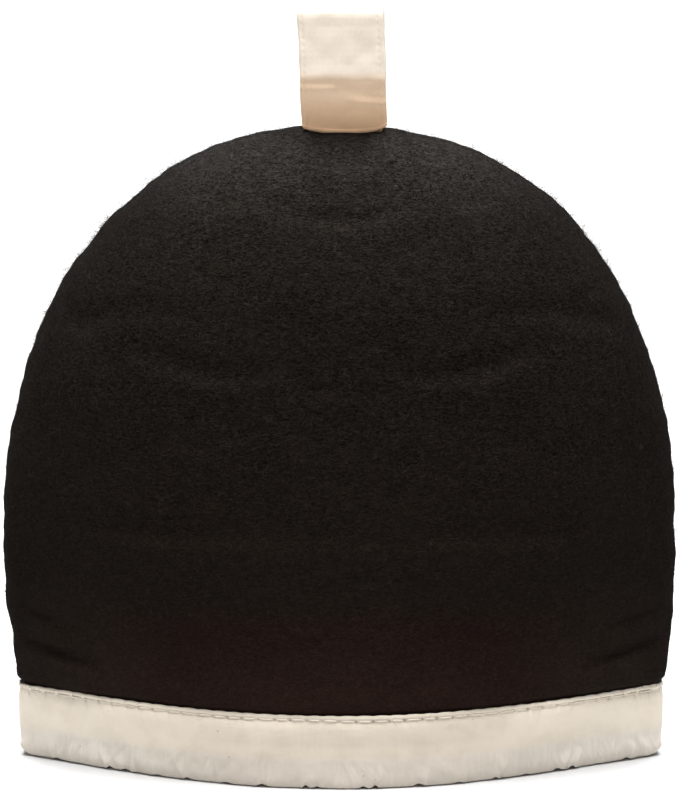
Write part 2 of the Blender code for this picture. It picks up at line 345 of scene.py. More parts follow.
def felt_spread(u, v, inset):
    """Across and height of a panel's grid points, for its face at an inset."""
    across_share = crowded(u)
    up = (v + 1) / 2
    side_height = np.interp(up / FELT_SIDE_SHARE, SIDE_ROW_SHARES, SIDE_ROW_HEIGHTS)
    side_across = across_share * (half_width(side_height) - felt_inset(side_height) - inset)
    rise_share = crowded(np.maximum(0, up - FELT_SIDE_SHARE) / (1 - FELT_SIDE_SHARE))
    disc_across = across_share * np.sqrt(1 - rise_share**2 / 2)
    disc_rise = rise_share * np.sqrt(1 - across_share**2 / 2)
    radius = np.maximum(np.hypot(disc_across, disc_rise), TINY)
    squared = (np.abs(disc_across) / radius) ** DOME_SQUARENESS
    squared += (disc_rise / radius) ** DOME_SQUARENESS
    stretch = squared ** (-1 / DOME_SQUARENESS)
    dome_across = disc_across * stretch * (HALF_WIDTH - inset)
    dome_rise = disc_rise * stretch * (CROWN_HEIGHT - SHOULDER_HEIGHT - inset)
    on_side = up <= FELT_SIDE_SHARE
    across = np.where(on_side, side_across, dome_across)
    return across, np.where(on_side, side_height, SHOULDER_HEIGHT + dome_rise)


print("The felt's grid:", FELT_COLUMNS, "by", FELT_ROWS)

# %% [markdown]
# ### The crown seam
# The seam pulls the outline in at a few places, where its turned allowance is clipped, and lets
# it out at others. A groove marks the join itself. The seam opens a little to let the loop's
# ends in, and the loop's foot presses the crown down.

# %% Seam
SEAM_GROOVE = 0.0012
SEAM_GROOVE_REACH = 0.0018
SEAM_DIPS = (
    # across, height, depth
    (-0.0790, 0.2200, 0.0013),
    (-0.0960, 0.2030, 0.0009),
    (-0.1240, 0.1410, 0.0006),
    (-0.1300, 0.0920, 0.0007),
    (-0.1290, 0.0700, 0.0013),
    (-0.1270, 0.0510, 0.0014),
    (0.0300, 0.2450, 0.0010),
    (0.0850, 0.2170, -0.0008),
    (0.1280, 0.1660, 0.0006),
    (0.1240, 0.1360, -0.0003),
    (0.1300, 0.0920, 0.0010),
    (0.1290, 0.0690, 0.0011),
    (0.1260, 0.0360, -0.0005),
)
SEAM_DIP_REACH = 0.0085
SEAM_WOBBLE = 0.00030
SEAM_WOBBLE_LENGTHS = (0.0050, 0.0130)
SEAM_WOBBLE_REACH = 0.0080
LOOP_MIDDLE = 0.0018
# how far, and where it fades out: half widths, and depths below the crown
LOOP_ROOM = (0.0021, (0.0126, 0.0158), (0.0120, 0.0220))
LOOP_DENT = (0.0012, (0.0080, 0.0160), (0.0020, 0.0260))


def seam_pull(across, height, depth):
    """How far the seam draws this place of the felt in towards the middle of the panel."""
    pull = np.zeros_like(across)
    for dip_across, dip_height, dip_depth in SEAM_DIPS:
        away_squared = (across - dip_across) ** 2 + (height - dip_height) ** 2 + depth**2
        pull += dip_depth * bump(np.sqrt(away_squared), SEAM_DIP_REACH)
    wobble = waves(across, height, SEAM_WOBBLE_LENGTHS, count=14, seed=57)
    return pull + SEAM_WOBBLE * wobble * bump(depth, SEAM_WOBBLE_REACH)


def under_loop(across, height, most, half_widths, depths):
    """As much as most in the crown under the loop, and nothing beside it or further down."""
    beside = 1 - smooth_step(*half_widths, np.abs(across - LOOP_MIDDLE))
    below = 1 - smooth_step(*depths, CROWN_HEIGHT - height)
    return most * beside * below


print("The seam is drawn in or let out at", len(SEAM_DIPS), "places")

# %% [markdown]
# ### The finished panels
# Folds, seam and loop are put together here. Felt is never quite flat in the hand, so two
# sizes of soft waves go over all of it, and they fade where a seam holds the cloth.

# %% Felt
FELT_WAVES = (
    # shortest, longest, height of the wave
    (0.0300, 0.0700, 0.00055),
    (0.0070, 0.0160, 0.00016),
)
CALM_ABOVE_BAND = 0.0200
CALM_BY_SEAM = 0.0120


def felt_points(u, v, face, side):
    """Points of a felt panel's outer or inner face."""
    inset = face * FELT_THICKNESS
    across, height = felt_spread(u, v, inset)
    depth = form_depth(across, height, felt_inset(height) + inset)
    pull = seam_pull(across, height, depth)
    pull += np.where(face == OUTER, SEAM_GROOVE * bump(depth, SEAM_GROOVE_REACH), 0)
    relief = fold_relief(across, height, side) + under_loop(across, height, *LOOP_ROOM)
    calm = smooth_step(0, CALM_ABOVE_BAND, height - BAND_HEIGHT)
    calm = calm * smooth_step(0, CALM_BY_SEAM, depth)
    relief += calm * swelling(FELT_WAVES, across, height, count=14, first_seed=40, side=side)
    dent = under_loop(across, height, *LOOP_DENT)
    height = height - np.maximum(0, height - SHOULDER_HEIGHT) * pull / HALF_WIDTH - dent
    across = across - across * pull / HALF_WIDTH
    return on_side(across, depth + relief, height, side)


def make_felt(name, side):
    """A felt panel as a closed wall."""
    piece = wall_grid(name, FELT_COLUMNS, FELT_ROWS, FELT_INNER_SHARE)
    u, v, level = points_of(piece.data).T
    move_points(piece, felt_points(u, v, -np.rint(level), side))
    print(name, "has", triangles(piece), "triangles")
    return piece


front_felt = make_felt("front_felt", FRONT)
back_felt = make_felt("back_felt", BACK)

# %% [markdown]
# ## The hem bands
# The binding is one calico strip folded over the felt's edge and the seam layers inside. A flat
# strip with a Solidify modifier would look like tape, so it is a filled tube: one closed section
# carried along the hem. The section's skin is a smooth curve through a few named rows. It stands
# on a flat strip, and a slot in its top holds the felt.

# %% Band section
BAND_STATIONS = 620
BAND_SKIN = (
    # inset, height, steps to the next row
    (0.0008, 0.0290, 3),
    (0.0004, 0.0277, 4),
    (0.0006, 0.0262, 5),
    (0.0001, 0.0235, 9),
    (0.0000, 0.0180, 8),
    (0.0001, 0.0125, 6),
    (0.0005, 0.0088, 8),
    (0.0009, 0.0036, 6),
    (0.0016, 0.0010, 3),
    (0.0027, 0.0001, 3),
    (0.0064, 0.0000, 2),
    (0.0080, 0.0000, 2),
    (0.0092, 0.0008, 2),
    (0.0101, 0.0040, 2),
    (0.0103, 0.0105, 2),
    (0.0098, 0.0175, 2),
    (0.0088, 0.0240, 2),
    (0.0080, 0.0288, 1),
)
BAND_SLOT = ((0.0070, BAND_HEIGHT), (0.0070, 0.0210), (0.0016, 0.0210), (0.0014, 0.0289))


def smooth_through(rows, steps):
    """Points on a smooth curve through rows, with a number of steps from each to the next."""
    rows = np.asarray(rows, float)
    padded = np.vstack([2 * rows[0] - rows[1], rows, 2 * rows[-1] - rows[-2]])
    spans = []
    for span in range(len(rows) - 1):
        before, start, end, after = padded[span : span + 4]
        share = np.linspace(0, 1, steps[span], endpoint=False)[:, None]
        leave, arrive = (end - before) / 2, (after - start) / 2
        squared, cubed = share**2, share**3
        curve = start * (2 * cubed - 3 * squared + 1) + end * (3 * squared - 2 * cubed)
        spans.append(curve + leave * (cubed - 2 * squared + share) + arrive * (cubed - squared))
    return np.vstack([*spans, rows[-1:]])


band_skin = smooth_through([row[:2] for row in BAND_SKIN], [row[2] for row in BAND_SKIN])
band_section = np.vstack([band_skin, BAND_SLOT])
band_section[:, 1] = np.maximum(0, band_section[:, 1])
BAND_CORNERS = len(band_section)
print("The band's section has", BAND_CORNERS, "corners")

# %% [markdown]
# ### Along the hem
# Stitches, puckers and the weave are spaced along the cloth and not straight across. The curve
# has no simple length formula, so the hem is measured once: a table from across to the length
# of hem between it and the middle.

# %% Measure the hem
HEM_TABLE_SIZE = 2001
MIDDLE_OF_BAND = 0.0180

hem_half_width = float(half_width(MIDDLE_OF_BAND))
table_across = np.sin(np.linspace(-1, 1, HEM_TABLE_SIZE) * math.pi / 2) * hem_half_width
table_depth = form_depth(table_across, np.full(HEM_TABLE_SIZE, MIDDLE_OF_BAND), 0.0)
table_steps = np.hypot(np.diff(table_across), np.diff(table_depth))
table_along = np.concatenate([[0], np.cumsum(table_steps)])
table_along -= table_along[HEM_TABLE_SIZE // 2]
hem_half_length = float(table_along[-1])
print("Half the hem's length, seam to middle:", round(hem_half_length, 4))


def hem_along(across):
    """Length of hem from the middle of a face to a place across it."""
    return np.interp(across, table_across, table_along)


def hem_across(along):
    """The place across a face at a length of hem from its middle."""
    return np.interp(along, table_along, table_across)


# %% [markdown]
# ### Needle holes
# A long machine topstitch runs just under the binding's folded edge. Evenly spaced holes on a
# ruled line would look printed, so the spacing and the line both wander a little, as they do
# when the work is fed by hand.

# %% Needle holes
STITCH_PITCH = 0.0063
STITCH_UNEVENNESS = 0.07
STITCH_HEIGHT = 0.0269
STITCH_WANDER = 0.00022
STITCH_WANDER_LENGTHS = (0.020, 0.055)
STITCH_END_GAP = 0.0040


def needle_holes(side):
    """Lengths of hem from the middle to each needle hole, as uneven as a hand-fed machine."""
    dice = np.random.default_rng(7 + side)
    reach = hem_half_length - STITCH_END_GAP
    count = round(2 * reach / STITCH_PITCH)
    places = np.linspace(-reach, reach, count + 1)
    return places + dice.uniform(-1, 1, count + 1) * STITCH_PITCH * STITCH_UNEVENNESS


def stitch_line(along, side):
    """The height of the topstitch line, which wanders a little."""
    wander = waves(along, 0.0, STITCH_WANDER_LENGTHS, count=6, seed=17 + side)
    return STITCH_HEIGHT + STITCH_WANDER * wander


def nearest(along, places):
    """Signed distance from each along to the nearest of places, and that place's number."""
    number = np.clip(np.searchsorted(places, along), 1, len(places) - 1)
    closer = np.abs(along - places[number - 1]) < np.abs(along - places[number])
    number = np.where(closer, number - 1, number)
    return along - places[number], number


print("Stitches on the front:", len(needle_holes(FRONT)) - 1)

# %% [markdown]
# ### Puckers
# Every needle hole pulls the cloth in, so the stitch line lies in a groove and short puckers fan
# out below it. They are real relief and not bump, because the light from above shows their
# edges. Each hole pulls by its own amount.

# %% Puckers
STITCH_GROOVE = 0.00036
STITCH_GROOVE_WIDTH = 0.00062
HOLE_DENT = 0.00080
HOLE_WIDTH = 0.00062
HOLE_PULLS = (0.45, 1.0)
PUCKER = 0.00034
PUCKER_REACH = 0.0046
PUCKER_START = 0.0008
PUCKER_FAN = 0.5
PUCKER_WIDTH = 0.0007
PUCKER_WIDENING = 0.12


def pucker_relief(along, height, side):
    """How the topstitch draws the band in, and how near each point is to a needle hole."""
    dice = np.random.default_rng(23 + side)
    holes = needle_holes(side)
    pull = dice.uniform(*HOLE_PULLS, len(holes))
    fan = dice.uniform(-1.0, 1.0, len(holes))
    past, number = nearest(along, holes)
    from_line = height - stitch_line(along, side)
    hole_nearness = bump(np.hypot(past, from_line), HOLE_WIDTH) * pull[number]
    relief = -STITCH_GROOVE * bump(from_line, STITCH_GROOVE_WIDTH) - HOLE_DENT * hole_nearness
    under = np.maximum(0, -from_line)
    fanned = past - fan[number] * under * PUCKER_FAN
    fade = bump(under, PUCKER_REACH) * smooth_step(0, PUCKER_START, under)
    relief -= PUCKER * pull[number] * fade * bump(fanned, PUCKER_WIDTH + PUCKER_WIDENING * under)
    return relief, hole_nearness


# %% [markdown]
# ### Ribs
# Lower down, the turned-under third of the strip is crowded into fine ribs. Three sizes of
# ridge are added up, each strong in patches and weak between them, and the ribs lean in towards
# the middle as they rise, like cloth eased round a curve. The whole band swells softly as well.

# %% Swell and ribs
BAND_WAVES = (
    # shortest, longest, height of the wave
    (0.0280, 0.0600, 0.00050),
    (0.0090, 0.0200, 0.00016),
)
RIBS = (
    # spacing, height of the rib
    (0.0088, 0.00018),
    (0.0041, 0.00011),
    (0.0024, 0.00007),
)
RIB_TOP = 0.0130
RIB_FADE = 0.0060
RIB_LEAN = 0.35
RIB_STRENGTH = 0.6
RIB_MOST_STRENGTH = 1.2
RIB_PATCH_LENGTHS = (0.012, 0.030)
RIB_WANDER = 0.55
RIB_WANDER_LENGTHS = (0.010, 0.026)


def band_swell(along, height, side):
    """How far the band swells past its smooth section."""
    return swelling(BAND_WAVES, along, height, count=10, first_seed=60, side=side)


def rib_relief(along, height, side):
    """The fine ribs in the turned-under third of the band."""
    ribbed = 1 - smooth_step(RIB_TOP - RIB_FADE, RIB_TOP, height)
    slant = along + RIB_LEAN * height * np.sign(along)
    relief = np.zeros_like(along)
    for number, (spacing, rise) in enumerate(RIBS):
        own_seed = number + 10 * side
        patches = waves(along, 0.0, RIB_PATCH_LENGTHS, count=5, seed=81 + own_seed)
        strength = np.clip(RIB_STRENGTH + RIB_STRENGTH * patches, 0, RIB_MOST_STRENGTH)
        wander = waves(along, height, RIB_WANDER_LENGTHS, count=6, seed=91 + own_seed)
        ridge = np.cos((slant + spacing * RIB_WANDER * wander) * 2 * math.pi / spacing)
        relief += rise * ribbed * strength * ridge
    return relief


print("Ribs to a decimetre of hem:", [round(0.1 / spacing) for spacing, _ in RIBS])

# %% [markdown]
# ### Pleats
# A few ribs fold over as pleats that lift the bottom edge off the table, and these give the hem
# its small dark nicks. Each is steep on one side and long on the other. They sit where the
# cloth had to be taken up, so their places are given one by one.

# %% Pleats
PLEATS = (
    # across, lift, width, lean
    (-0.1112, 0.0007, 0.0014, -0.40),
    (-0.0898, 0.0010, 0.0012, -0.45),
    (-0.0844, 0.0008, 0.0016, -0.55),
    (-0.0720, 0.0004, 0.0020, -0.40),
    (-0.0598, 0.0008, 0.0013, -0.50),
    (-0.0455, 0.0005, 0.0018, -0.30),
    (-0.0318, 0.0009, 0.0022, -0.30),
    (-0.0142, 0.0011, 0.0012, -0.20),
    (-0.0102, 0.0006, 0.0016, -0.15),
    (0.0106, 0.0007, 0.0017, 0.15),
    (0.0147, 0.0011, 0.0012, 0.20),
    (0.0322, 0.0009, 0.0022, 0.30),
    (0.0470, 0.0005, 0.0018, 0.30),
    (0.0606, 0.0008, 0.0013, 0.50),
    (0.0733, 0.0004, 0.0020, 0.40),
    (0.0852, 0.0008, 0.0016, 0.55),
    (0.0903, 0.0010, 0.0012, 0.45),
    (0.1118, 0.0007, 0.0014, 0.40),
)
PLEAT_RIDGE = 0.00070
PLEAT_RISE = 0.001
PLEAT_STEEP_SIDE = 0.5
PLEAT_LONG_SIDE = 1.8
PLEAT_REACH = 0.0060
PLEAT_LIFT = 1.15
PLEAT_LIFT_WIDTH = 0.8
LIFT_REACH = 0.0030


def pleats(across, height, side):
    """The pleats' ridges, and how far they lift the bottom edge."""
    ridges = np.zeros_like(across)
    lift = np.zeros_like(across)
    for place, rise, width, lean in PLEATS:
        leaning = np.sign(lean)
        past = across * -side - place - lean * height
        turn = np.where(past * leaning > 0, PLEAT_STEEP_SIDE, PLEAT_LONG_SIDE) * width
        ridges += PLEAT_RIDGE * rise / PLEAT_RISE * bump(past, turn) * bump(height, PLEAT_REACH)
        lift += PLEAT_LIFT * rise * bump(past + width * leaning, width * PLEAT_LIFT_WIDTH)
    return ridges, lift * bump(height, LIFT_REACH)


print("Pleats in each band:", len(PLEATS))

# %% [markdown]
# ### The finished bands
# All of this moves the outer skin only, and the fold at the top dips at each needle hole. Near a
# side seam it fades out: there the joined layers make a small lump, and the bottom corner is
# rounded. Each point also keeps its place on the strip, which the weave will follow.

# %% Bands
SKIN_INSETS = (0.0030, 0.0056)
LIFT_INSETS = (0.0048, 0.0063)
EDGE_DIP = 0.00022
EDGE_DIP_WIDTH = 0.22
EDGE_DIP_HEIGHTS = (0.0262, 0.0290)
END_CALM = 0.0040
END_LIFT = 0.0018
END_LIFT_REACH = 0.0090
END_LIFT_HEIGHT = 0.0060
END_LUMP = 0.0010
END_LUMP_PLACE = (0.0042, 0.0030)
END_LUMP_SIZE = (0.0026, 0.0034)
INSIDE_STRIP = 0.03


def band_points(u, corner, side):
    """Points of a hem band, for stations u from -1 to 1 and corners of its section."""
    inset, height = band_section[corner].T
    station = np.sin(u * math.pi / 2)
    across = station * (half_width(height) - inset)
    along = hem_along(station * hem_half_width)
    from_end = hem_half_length - np.abs(along)
    calm = smooth_step(0, END_CALM, from_end)
    skin = np.where(corner < len(band_skin), 1 - smooth_step(*SKIN_INSETS, inset), 0)
    relief, hole_nearness = pucker_relief(along, height, side)
    relief += band_swell(along, height, side) + rib_relief(along, height, side)
    ridges, lift = pleats(across, height, side)
    lump = bump((from_end - END_LUMP_PLACE[0]) / END_LUMP_SIZE[0], 1)
    lump = lump * bump((height - END_LUMP_PLACE[1]) / END_LUMP_SIZE[1], 1)
    out = skin * (calm * (relief + ridges) + END_LUMP * lump)
    past, _ = nearest(along, needle_holes(side))
    dip = EDGE_DIP * bump(past, STITCH_PITCH * EDGE_DIP_WIDTH)
    height = height - dip * smooth_step(*EDGE_DIP_HEIGHTS, height) * calm
    height = height + calm * (1 - smooth_step(*LIFT_INSETS, inset)) * lift
    near_end = 1 - smooth_step(0, END_LIFT_REACH, from_end)
    height = height + END_LIFT * near_end * bump(height, END_LIFT_HEIGHT)
    across = station * (half_width(height) - inset + out)
    places = on_side(across, form_depth(across, height, inset - out), height, side)
    strip_height = np.where(skin > 0, height, inset + INSIDE_STRIP)
    return places, np.stack([along, strip_height, 0 * along], axis=-1), hole_nearness * skin


print("The band's skin fades out at insets", SKIN_INSETS)

# %% [markdown]
# ### Sewing the bands
# Each band is a flat grid with one row for each corner of the section. Its top row is welded to
# its bottom row, which closes the tube, and its two ends are filled. Spinning the section would
# need a round path, and the hem isn't round.

# %% Make the bands


def make_band(name, side):
    """A hem band as one closed tube."""
    mesh = bmesh.new()
    bmesh.ops.create_grid(mesh, x_segments=BAND_STATIONS, y_segments=BAND_CORNERS, size=1)
    rows = []
    for edge in (1, -1):
        row = [point for point in mesh.verts if abs(point.co.y - edge) < 1 / BAND_CORNERS]
        rows.append(sorted(row, key=lambda point: point.co.x))
    bmesh.ops.weld_verts(mesh, targetmap=dict(zip(*rows)))
    bmesh.ops.holes_fill(mesh, edges=[edge for edge in mesh.edges if edge.is_boundary])
    piece = object_from(name, mesh)
    flat = points_of(piece.data)
    corner = np.rint((flat[:, 1] + 1) / 2 * BAND_CORNERS).astype(int) % BAND_CORNERS
    places, cloth, hole_nearness = band_points(flat[:, 0], corner, side)
    keep_with_points(piece, "cloth", cloth)
    keep_with_points(piece, "needle", hole_nearness)
    move_points(piece, places)
    print(name, "has", triangles(piece), "triangles")
    return piece


front_band = make_band("front_band", FRONT)
back_band = make_band("back_band", BACK)

# %% [markdown]
# ## Many small copies
# A stitch or a fibre is a tiny tube with few sides, and there are thousands. An object for each
# would be slow, and a particle system would not survive the export, so they become one joined
# mesh, worked out with arrays from one pattern and a placing for each copy.

# %% Copies of a pattern


def tube_pattern(name, sides, cuts, start_radius, end_radius, closed):
    """A straight tube of length 1 along z, from 0 to 1, cut into rings."""
    mesh = bmesh.new()
    bmesh.ops.create_cone(
        mesh,
        cap_ends=closed,
        segments=sides,
        radius1=start_radius,
        radius2=end_radius,
        depth=1,
        matrix=Matrix.Translation((0, 0, 0.5)),
    )
    lengthwise = [e for e in mesh.edges if abs(e.verts[0].co.z - e.verts[1].co.z) > 0.5]
    bmesh.ops.subdivide_edges(mesh, edges=lengthwise, cuts=cuts, use_grid_fill=True)
    data = bpy.data.meshes.new(name)
    into_mesh(mesh, data)
    return data


def joined_copies(name, pattern, placings):
    """One piece made of many copies of a pattern mesh, with a 4 by 4 placing for each."""
    count = len(placings)
    shape = points_of(pattern)
    shape = np.hstack([shape, np.ones((len(shape), 1))])
    corners = np.empty(len(pattern.loops), np.int32)
    pattern.loops.foreach_get("vertex_index", corners)
    starts = np.empty(len(pattern.polygons), np.int32)
    pattern.polygons.foreach_get("loop_start", starts)
    data = bpy.data.meshes.new(name)
    data.vertices.add(count * len(shape))
    data.loops.add(count * len(corners))
    data.polygons.add(count * len(starts))
    points = np.einsum("kij,nj->kni", placings, shape)[..., :3]
    copy = np.arange(count)[:, None]
    data.vertices.foreach_set("co", points.ravel())
    data.loops.foreach_set("vertex_index", (corners + copy * len(shape)).ravel())
    data.polygons.foreach_set("loop_start", (starts + copy * len(corners)).ravel())
    data.update(calc_edges=True)
    data.validate()
    return object_with(name, data)


def placings_from(*columns):
    """4 by 4 placings from three axes and an origin, one row each."""
    placings = np.zeros((len(columns[0]), 4, 4))
    for number, rows in enumerate(columns):
        placings[:, :3, number] = rows
    placings[:, 3, 3] = 1
    return placings


def unit(vectors):
    """The same directions with length 1."""
    return vectors / np.maximum(np.linalg.norm(vectors, axis=-1, keepdims=True), TINY)


# %% [markdown]
# ### Thread
# Each stitch is a short thick thread that rises out of one needle hole, lies in its groove and
# dives into the next. A curve with a round bevel could draw it, but a tube whose ends bend down
# needs far fewer faces. In the pattern, x points away from the cloth.

# %% Stitches
THREAD_SIDES = 8
THREAD_CUTS = 7
DIVE_SHARE = 0.24
THIN_ENDS = 0.72
THIN_SHARE = 0.3


def stitch_pattern(name, radius, dive, pitch):
    """One stitch of length 1 with its ends bent down along -x, its radius in true size."""
    data = tube_pattern(name, THREAD_SIDES, THREAD_CUTS, radius, radius, True)
    points = points_of(data)
    from_end = np.minimum(points[:, 2], 1 - points[:, 2]) * pitch
    points[:, 0] -= dive * (1 - smooth_step(0, pitch * DIVE_SHARE, from_end))
    thickening = smooth_step(0, pitch * THIN_SHARE, from_end)
    points[:, 1] *= THIN_ENDS + (1 - THIN_ENDS) * thickening
    data.vertices.foreach_set("co", points.ravel())
    return data


def stitches(name, pattern, starts, ends, outward):
    """Stitches from starts to ends, lying on a surface whose outward directions are given."""
    z_axes = ends - starts
    y_axes = unit(np.cross(unit(z_axes), outward))
    x_axes = np.cross(y_axes, unit(z_axes))
    return joined_copies(name, pattern, placings_from(x_axes, y_axes, z_axes, starts))


# %% [markdown]
# ### The topstitch
# The thread follows the band's own formula, swell and all, so that every stitch lies in its
# groove from one needle hole to the next.

# %% Topstitch
TOPSTITCH_RADIUS = 0.00036
TOPSTITCH_DIVE = 0.00075
TOPSTITCH_SHARE = 0.97
TOPSTITCH_INSET = 0.00066


def on_stitch_line(along, side):
    """Points on the band's skin along the topstitch line."""
    height = stitch_line(along, side)
    across = hem_across(along) / hem_half_width * half_width(height)
    inset = TOPSTITCH_INSET - band_swell(along, height, side)
    return on_side(across, form_depth(across, height, inset), height, side)


def make_topstitch(name, side):
    """The binding's topstitch, one stitch from each needle hole to the next."""
    holes = needle_holes(side)
    middles = (holes[1:] + holes[:-1]) / 2
    halves = (holes[1:] - holes[:-1]) / 2 * TOPSTITCH_SHARE
    starts = on_stitch_line(middles - halves, side)
    ends = on_stitch_line(middles + halves, side)
    level = np.tile([0.0, 0.0, 1.0], (len(middles), 1))
    outward = unit(np.cross(ends - starts, level)) * -side
    pattern = stitch_pattern(name + "_pattern", TOPSTITCH_RADIUS, TOPSTITCH_DIVE, STITCH_PITCH)
    piece = stitches(name, pattern, starts, ends, outward)
    print(name, "has", len(middles), "stitches and", triangles(piece), "triangles")
    return piece


front_topstitch = make_topstitch("front_topstitch", FRONT)
back_topstitch = make_topstitch("back_topstitch", BACK)

# %% [markdown]
# ## The hanging loop
# The loop is one strip, its long edges turned in and its two layers stitched together along
# them. It comes out of the crown seam, rounds over the felt's edge, stands up and folds over.
# The front leg has sagged into a buckle a third of the way up: above it the cloth faces the light,
# and below it the cloth turns in and goes dark. A simulated strip would settle somewhere else, so
# its path is a smooth curve through listed points.

# %% Loop path
LOOP_LEG = 0.00090
LOOP_FRONT_PATH = (
    # reach from the seam plane, height, steps to the next row
    (LOOP_LEG, 0.2380, 3),
    (LOOP_LEG, 0.2425, 4),
    (0.00100, 0.2462, 10),
    (0.00240, 0.2474, 8),
    (0.00460, 0.2480, 8),
    (0.00660, 0.2486, 8),
    (0.00680, 0.2499, 10),
    (0.00790, 0.2540, 18),
    (0.01080, 0.2602, 16),
    (0.01290, 0.2650, 14),
    (0.01370, 0.2684, 14),
    (0.01330, 0.2740, 18),
    (0.01285, 0.2810, 20),
    (0.01245, 0.2880, 18),
    (0.01180, 0.2938, 14),
    (0.00760, 0.2982, 14),
    (0.00000, 0.2994, 12),
)
LOOP_BACK_PATH = (
    # reach from the seam plane, height, steps to the next row
    (0.00640, 0.2981, 12),
    (0.01040, 0.2930, 12),
    (0.01200, 0.2855, 10),
    (0.01280, 0.2775, 10),
    (0.01320, 0.2695, 10),
    (0.01250, 0.2643, 10),
    (0.01040, 0.2588, 10),
    (0.00770, 0.2538, 10),
    (0.00500, 0.2506, 10),
    (0.00230, 0.2489, 6),
    (0.00100, 0.2462, 4),
    (LOOP_LEG, 0.2425, 3),
    (LOOP_LEG, 0.2380, 1),
)

loop_rows = [(FRONT * reach, height) for reach, height, _ in LOOP_FRONT_PATH]
loop_rows += [(BACK * reach, height) for reach, height, _ in LOOP_BACK_PATH]
loop_path = smooth_through(loop_rows, [row[2] for row in LOOP_FRONT_PATH + LOOP_BACK_PATH])
LOOP_ROWS = len(loop_path) - 1
loop_leans = unit(np.gradient(loop_path, axis=0))
loop_along = np.concatenate([[0], np.cumsum(np.hypot(*np.diff(loop_path, axis=0).T))])
print("The loop strip's length:", round(float(loop_along[-1]), 4), "in", LOOP_ROWS, "steps")

# %% [markdown]
# ### Creases
# Each row of the table is one crease: which leg it is on, where it runs and whether it goes in or
# out. The edge stitching pulls a shallow groove along both edges, deepest at its needle holes.
# All of it stops where the strip goes into the seam.

# %% Loop creases
LOOP_CREASES = (
    # side, height, across, half span, tilt, out, softness
    (FRONT, 0.2670, -0.0090, 0.0130, 0.0000, -0.00068, 0.0013),
    (FRONT, 0.2663, 0.0090, 0.0130, -0.0004, -0.00055, 0.0015),
    (FRONT, 0.2652, -0.0110, 0.0100, 0.0004, 0.00026, 0.0011),
    (FRONT, 0.2636, 0.0090, 0.0130, -0.0016, -0.00090, 0.0019),
    (FRONT, 0.2598, 0.0110, 0.0130, -0.0010, 0.00080, 0.0014),
    (FRONT, 0.2486, 0.0000, 0.0250, 0.0000, 0.00045, 0.0010),
    (FRONT, 0.2790, 0.0100, 0.0100, 0.0060, -0.00025, 0.0030),
    (BACK, 0.2640, 0.0020, 0.0200, 0.0014, -0.00050, 0.0014),
    (BACK, 0.2615, -0.0020, 0.0180, 0.0010, 0.00050, 0.0014),
)
LOOP_WAVE = 0.00013
LOOP_WAVE_LENGTHS = (0.0080, 0.0200)
EDGE_STITCH_PITCH = 0.0027
EDGE_STITCH_LINES = (-0.0148, 0.0137)
EDGE_GROOVE = 0.00014
EDGE_GROOVE_WIDTH = 0.00060
EDGE_HOLE_DENT = 0.00012
EDGE_HOLE_WIDTH = 0.0005
LOOP_SHOWN_HEIGHTS = (0.2475, 0.2500)
LOOP_SHOWN_REACH = 0.5


def loop_relief(across, reach, height, along):
    """How far the loop's cloth stands out past its smooth path."""
    side = np.where(reach < 0, FRONT, BACK)
    relief = LOOP_WAVE * waves(across, along, LOOP_WAVE_LENGTHS, count=10, seed=31)
    for crease_side, line, middle, half_span, tilt, out, softness in LOOP_CREASES:
        share = np.clip((across - middle) / half_span, -1, 1)
        above = height - line - tilt * share
        relief += out * (side == crease_side) * bump(above, softness) * (1 - share**2)
    stitch = (along % EDGE_STITCH_PITCH) / EDGE_STITCH_PITCH
    near_hole = np.minimum(stitch, 1 - stitch) * EDGE_STITCH_PITCH
    dent = EDGE_GROOVE + EDGE_HOLE_DENT * bump(near_hole, EDGE_HOLE_WIDTH)
    for line in EDGE_STITCH_LINES:
        relief -= dent * bump(across - line, EDGE_GROOVE_WIDTH)
    return relief * smooth_step(*LOOP_SHOWN_HEIGHTS, height + LOOP_SHOWN_REACH * np.abs(reach))


print("Creases in the loop:", len(LOOP_CREASES))

# %% [markdown]
# ### The finished loop
# The strip is a wall grid bent along the path. It leans a little to one side, spreads towards its
# fold and is gathered where it enters the seam. Below the front leg's bend the cloth droops in
# the middle and its corners stay up.

# %% Loop
LOOP_WIDTH = 0.0328
LOOP_THICKNESS = 0.0015
LOOP_COLUMNS = 72
LOOP_INNER_SHARE = 2
LOOP_EDGE_ROUNDING = 0.05
LOOP_EDGE_LEAST = 0.04
LOOP_LEAN = -0.0016
LOOP_FLARE = 0.022
LOOP_GATHER = 0.13
LOOP_GATHER_HEIGHTS = (0.2472, 0.2488)
LOOP_WANDER = 0.00030
LOOP_WANDER_LENGTHS = (0.015, 0.040)
LOOP_DROOP = 0.0013
LOOP_LEFT_RISE = 0.0009
LOOP_RIGHT_RISE = 0.0014
LOOP_DROOP_HEIGHTS = (0.2500, 0.2560)
LOOP_DROOP_REACH = (0.0004, 0.0018)


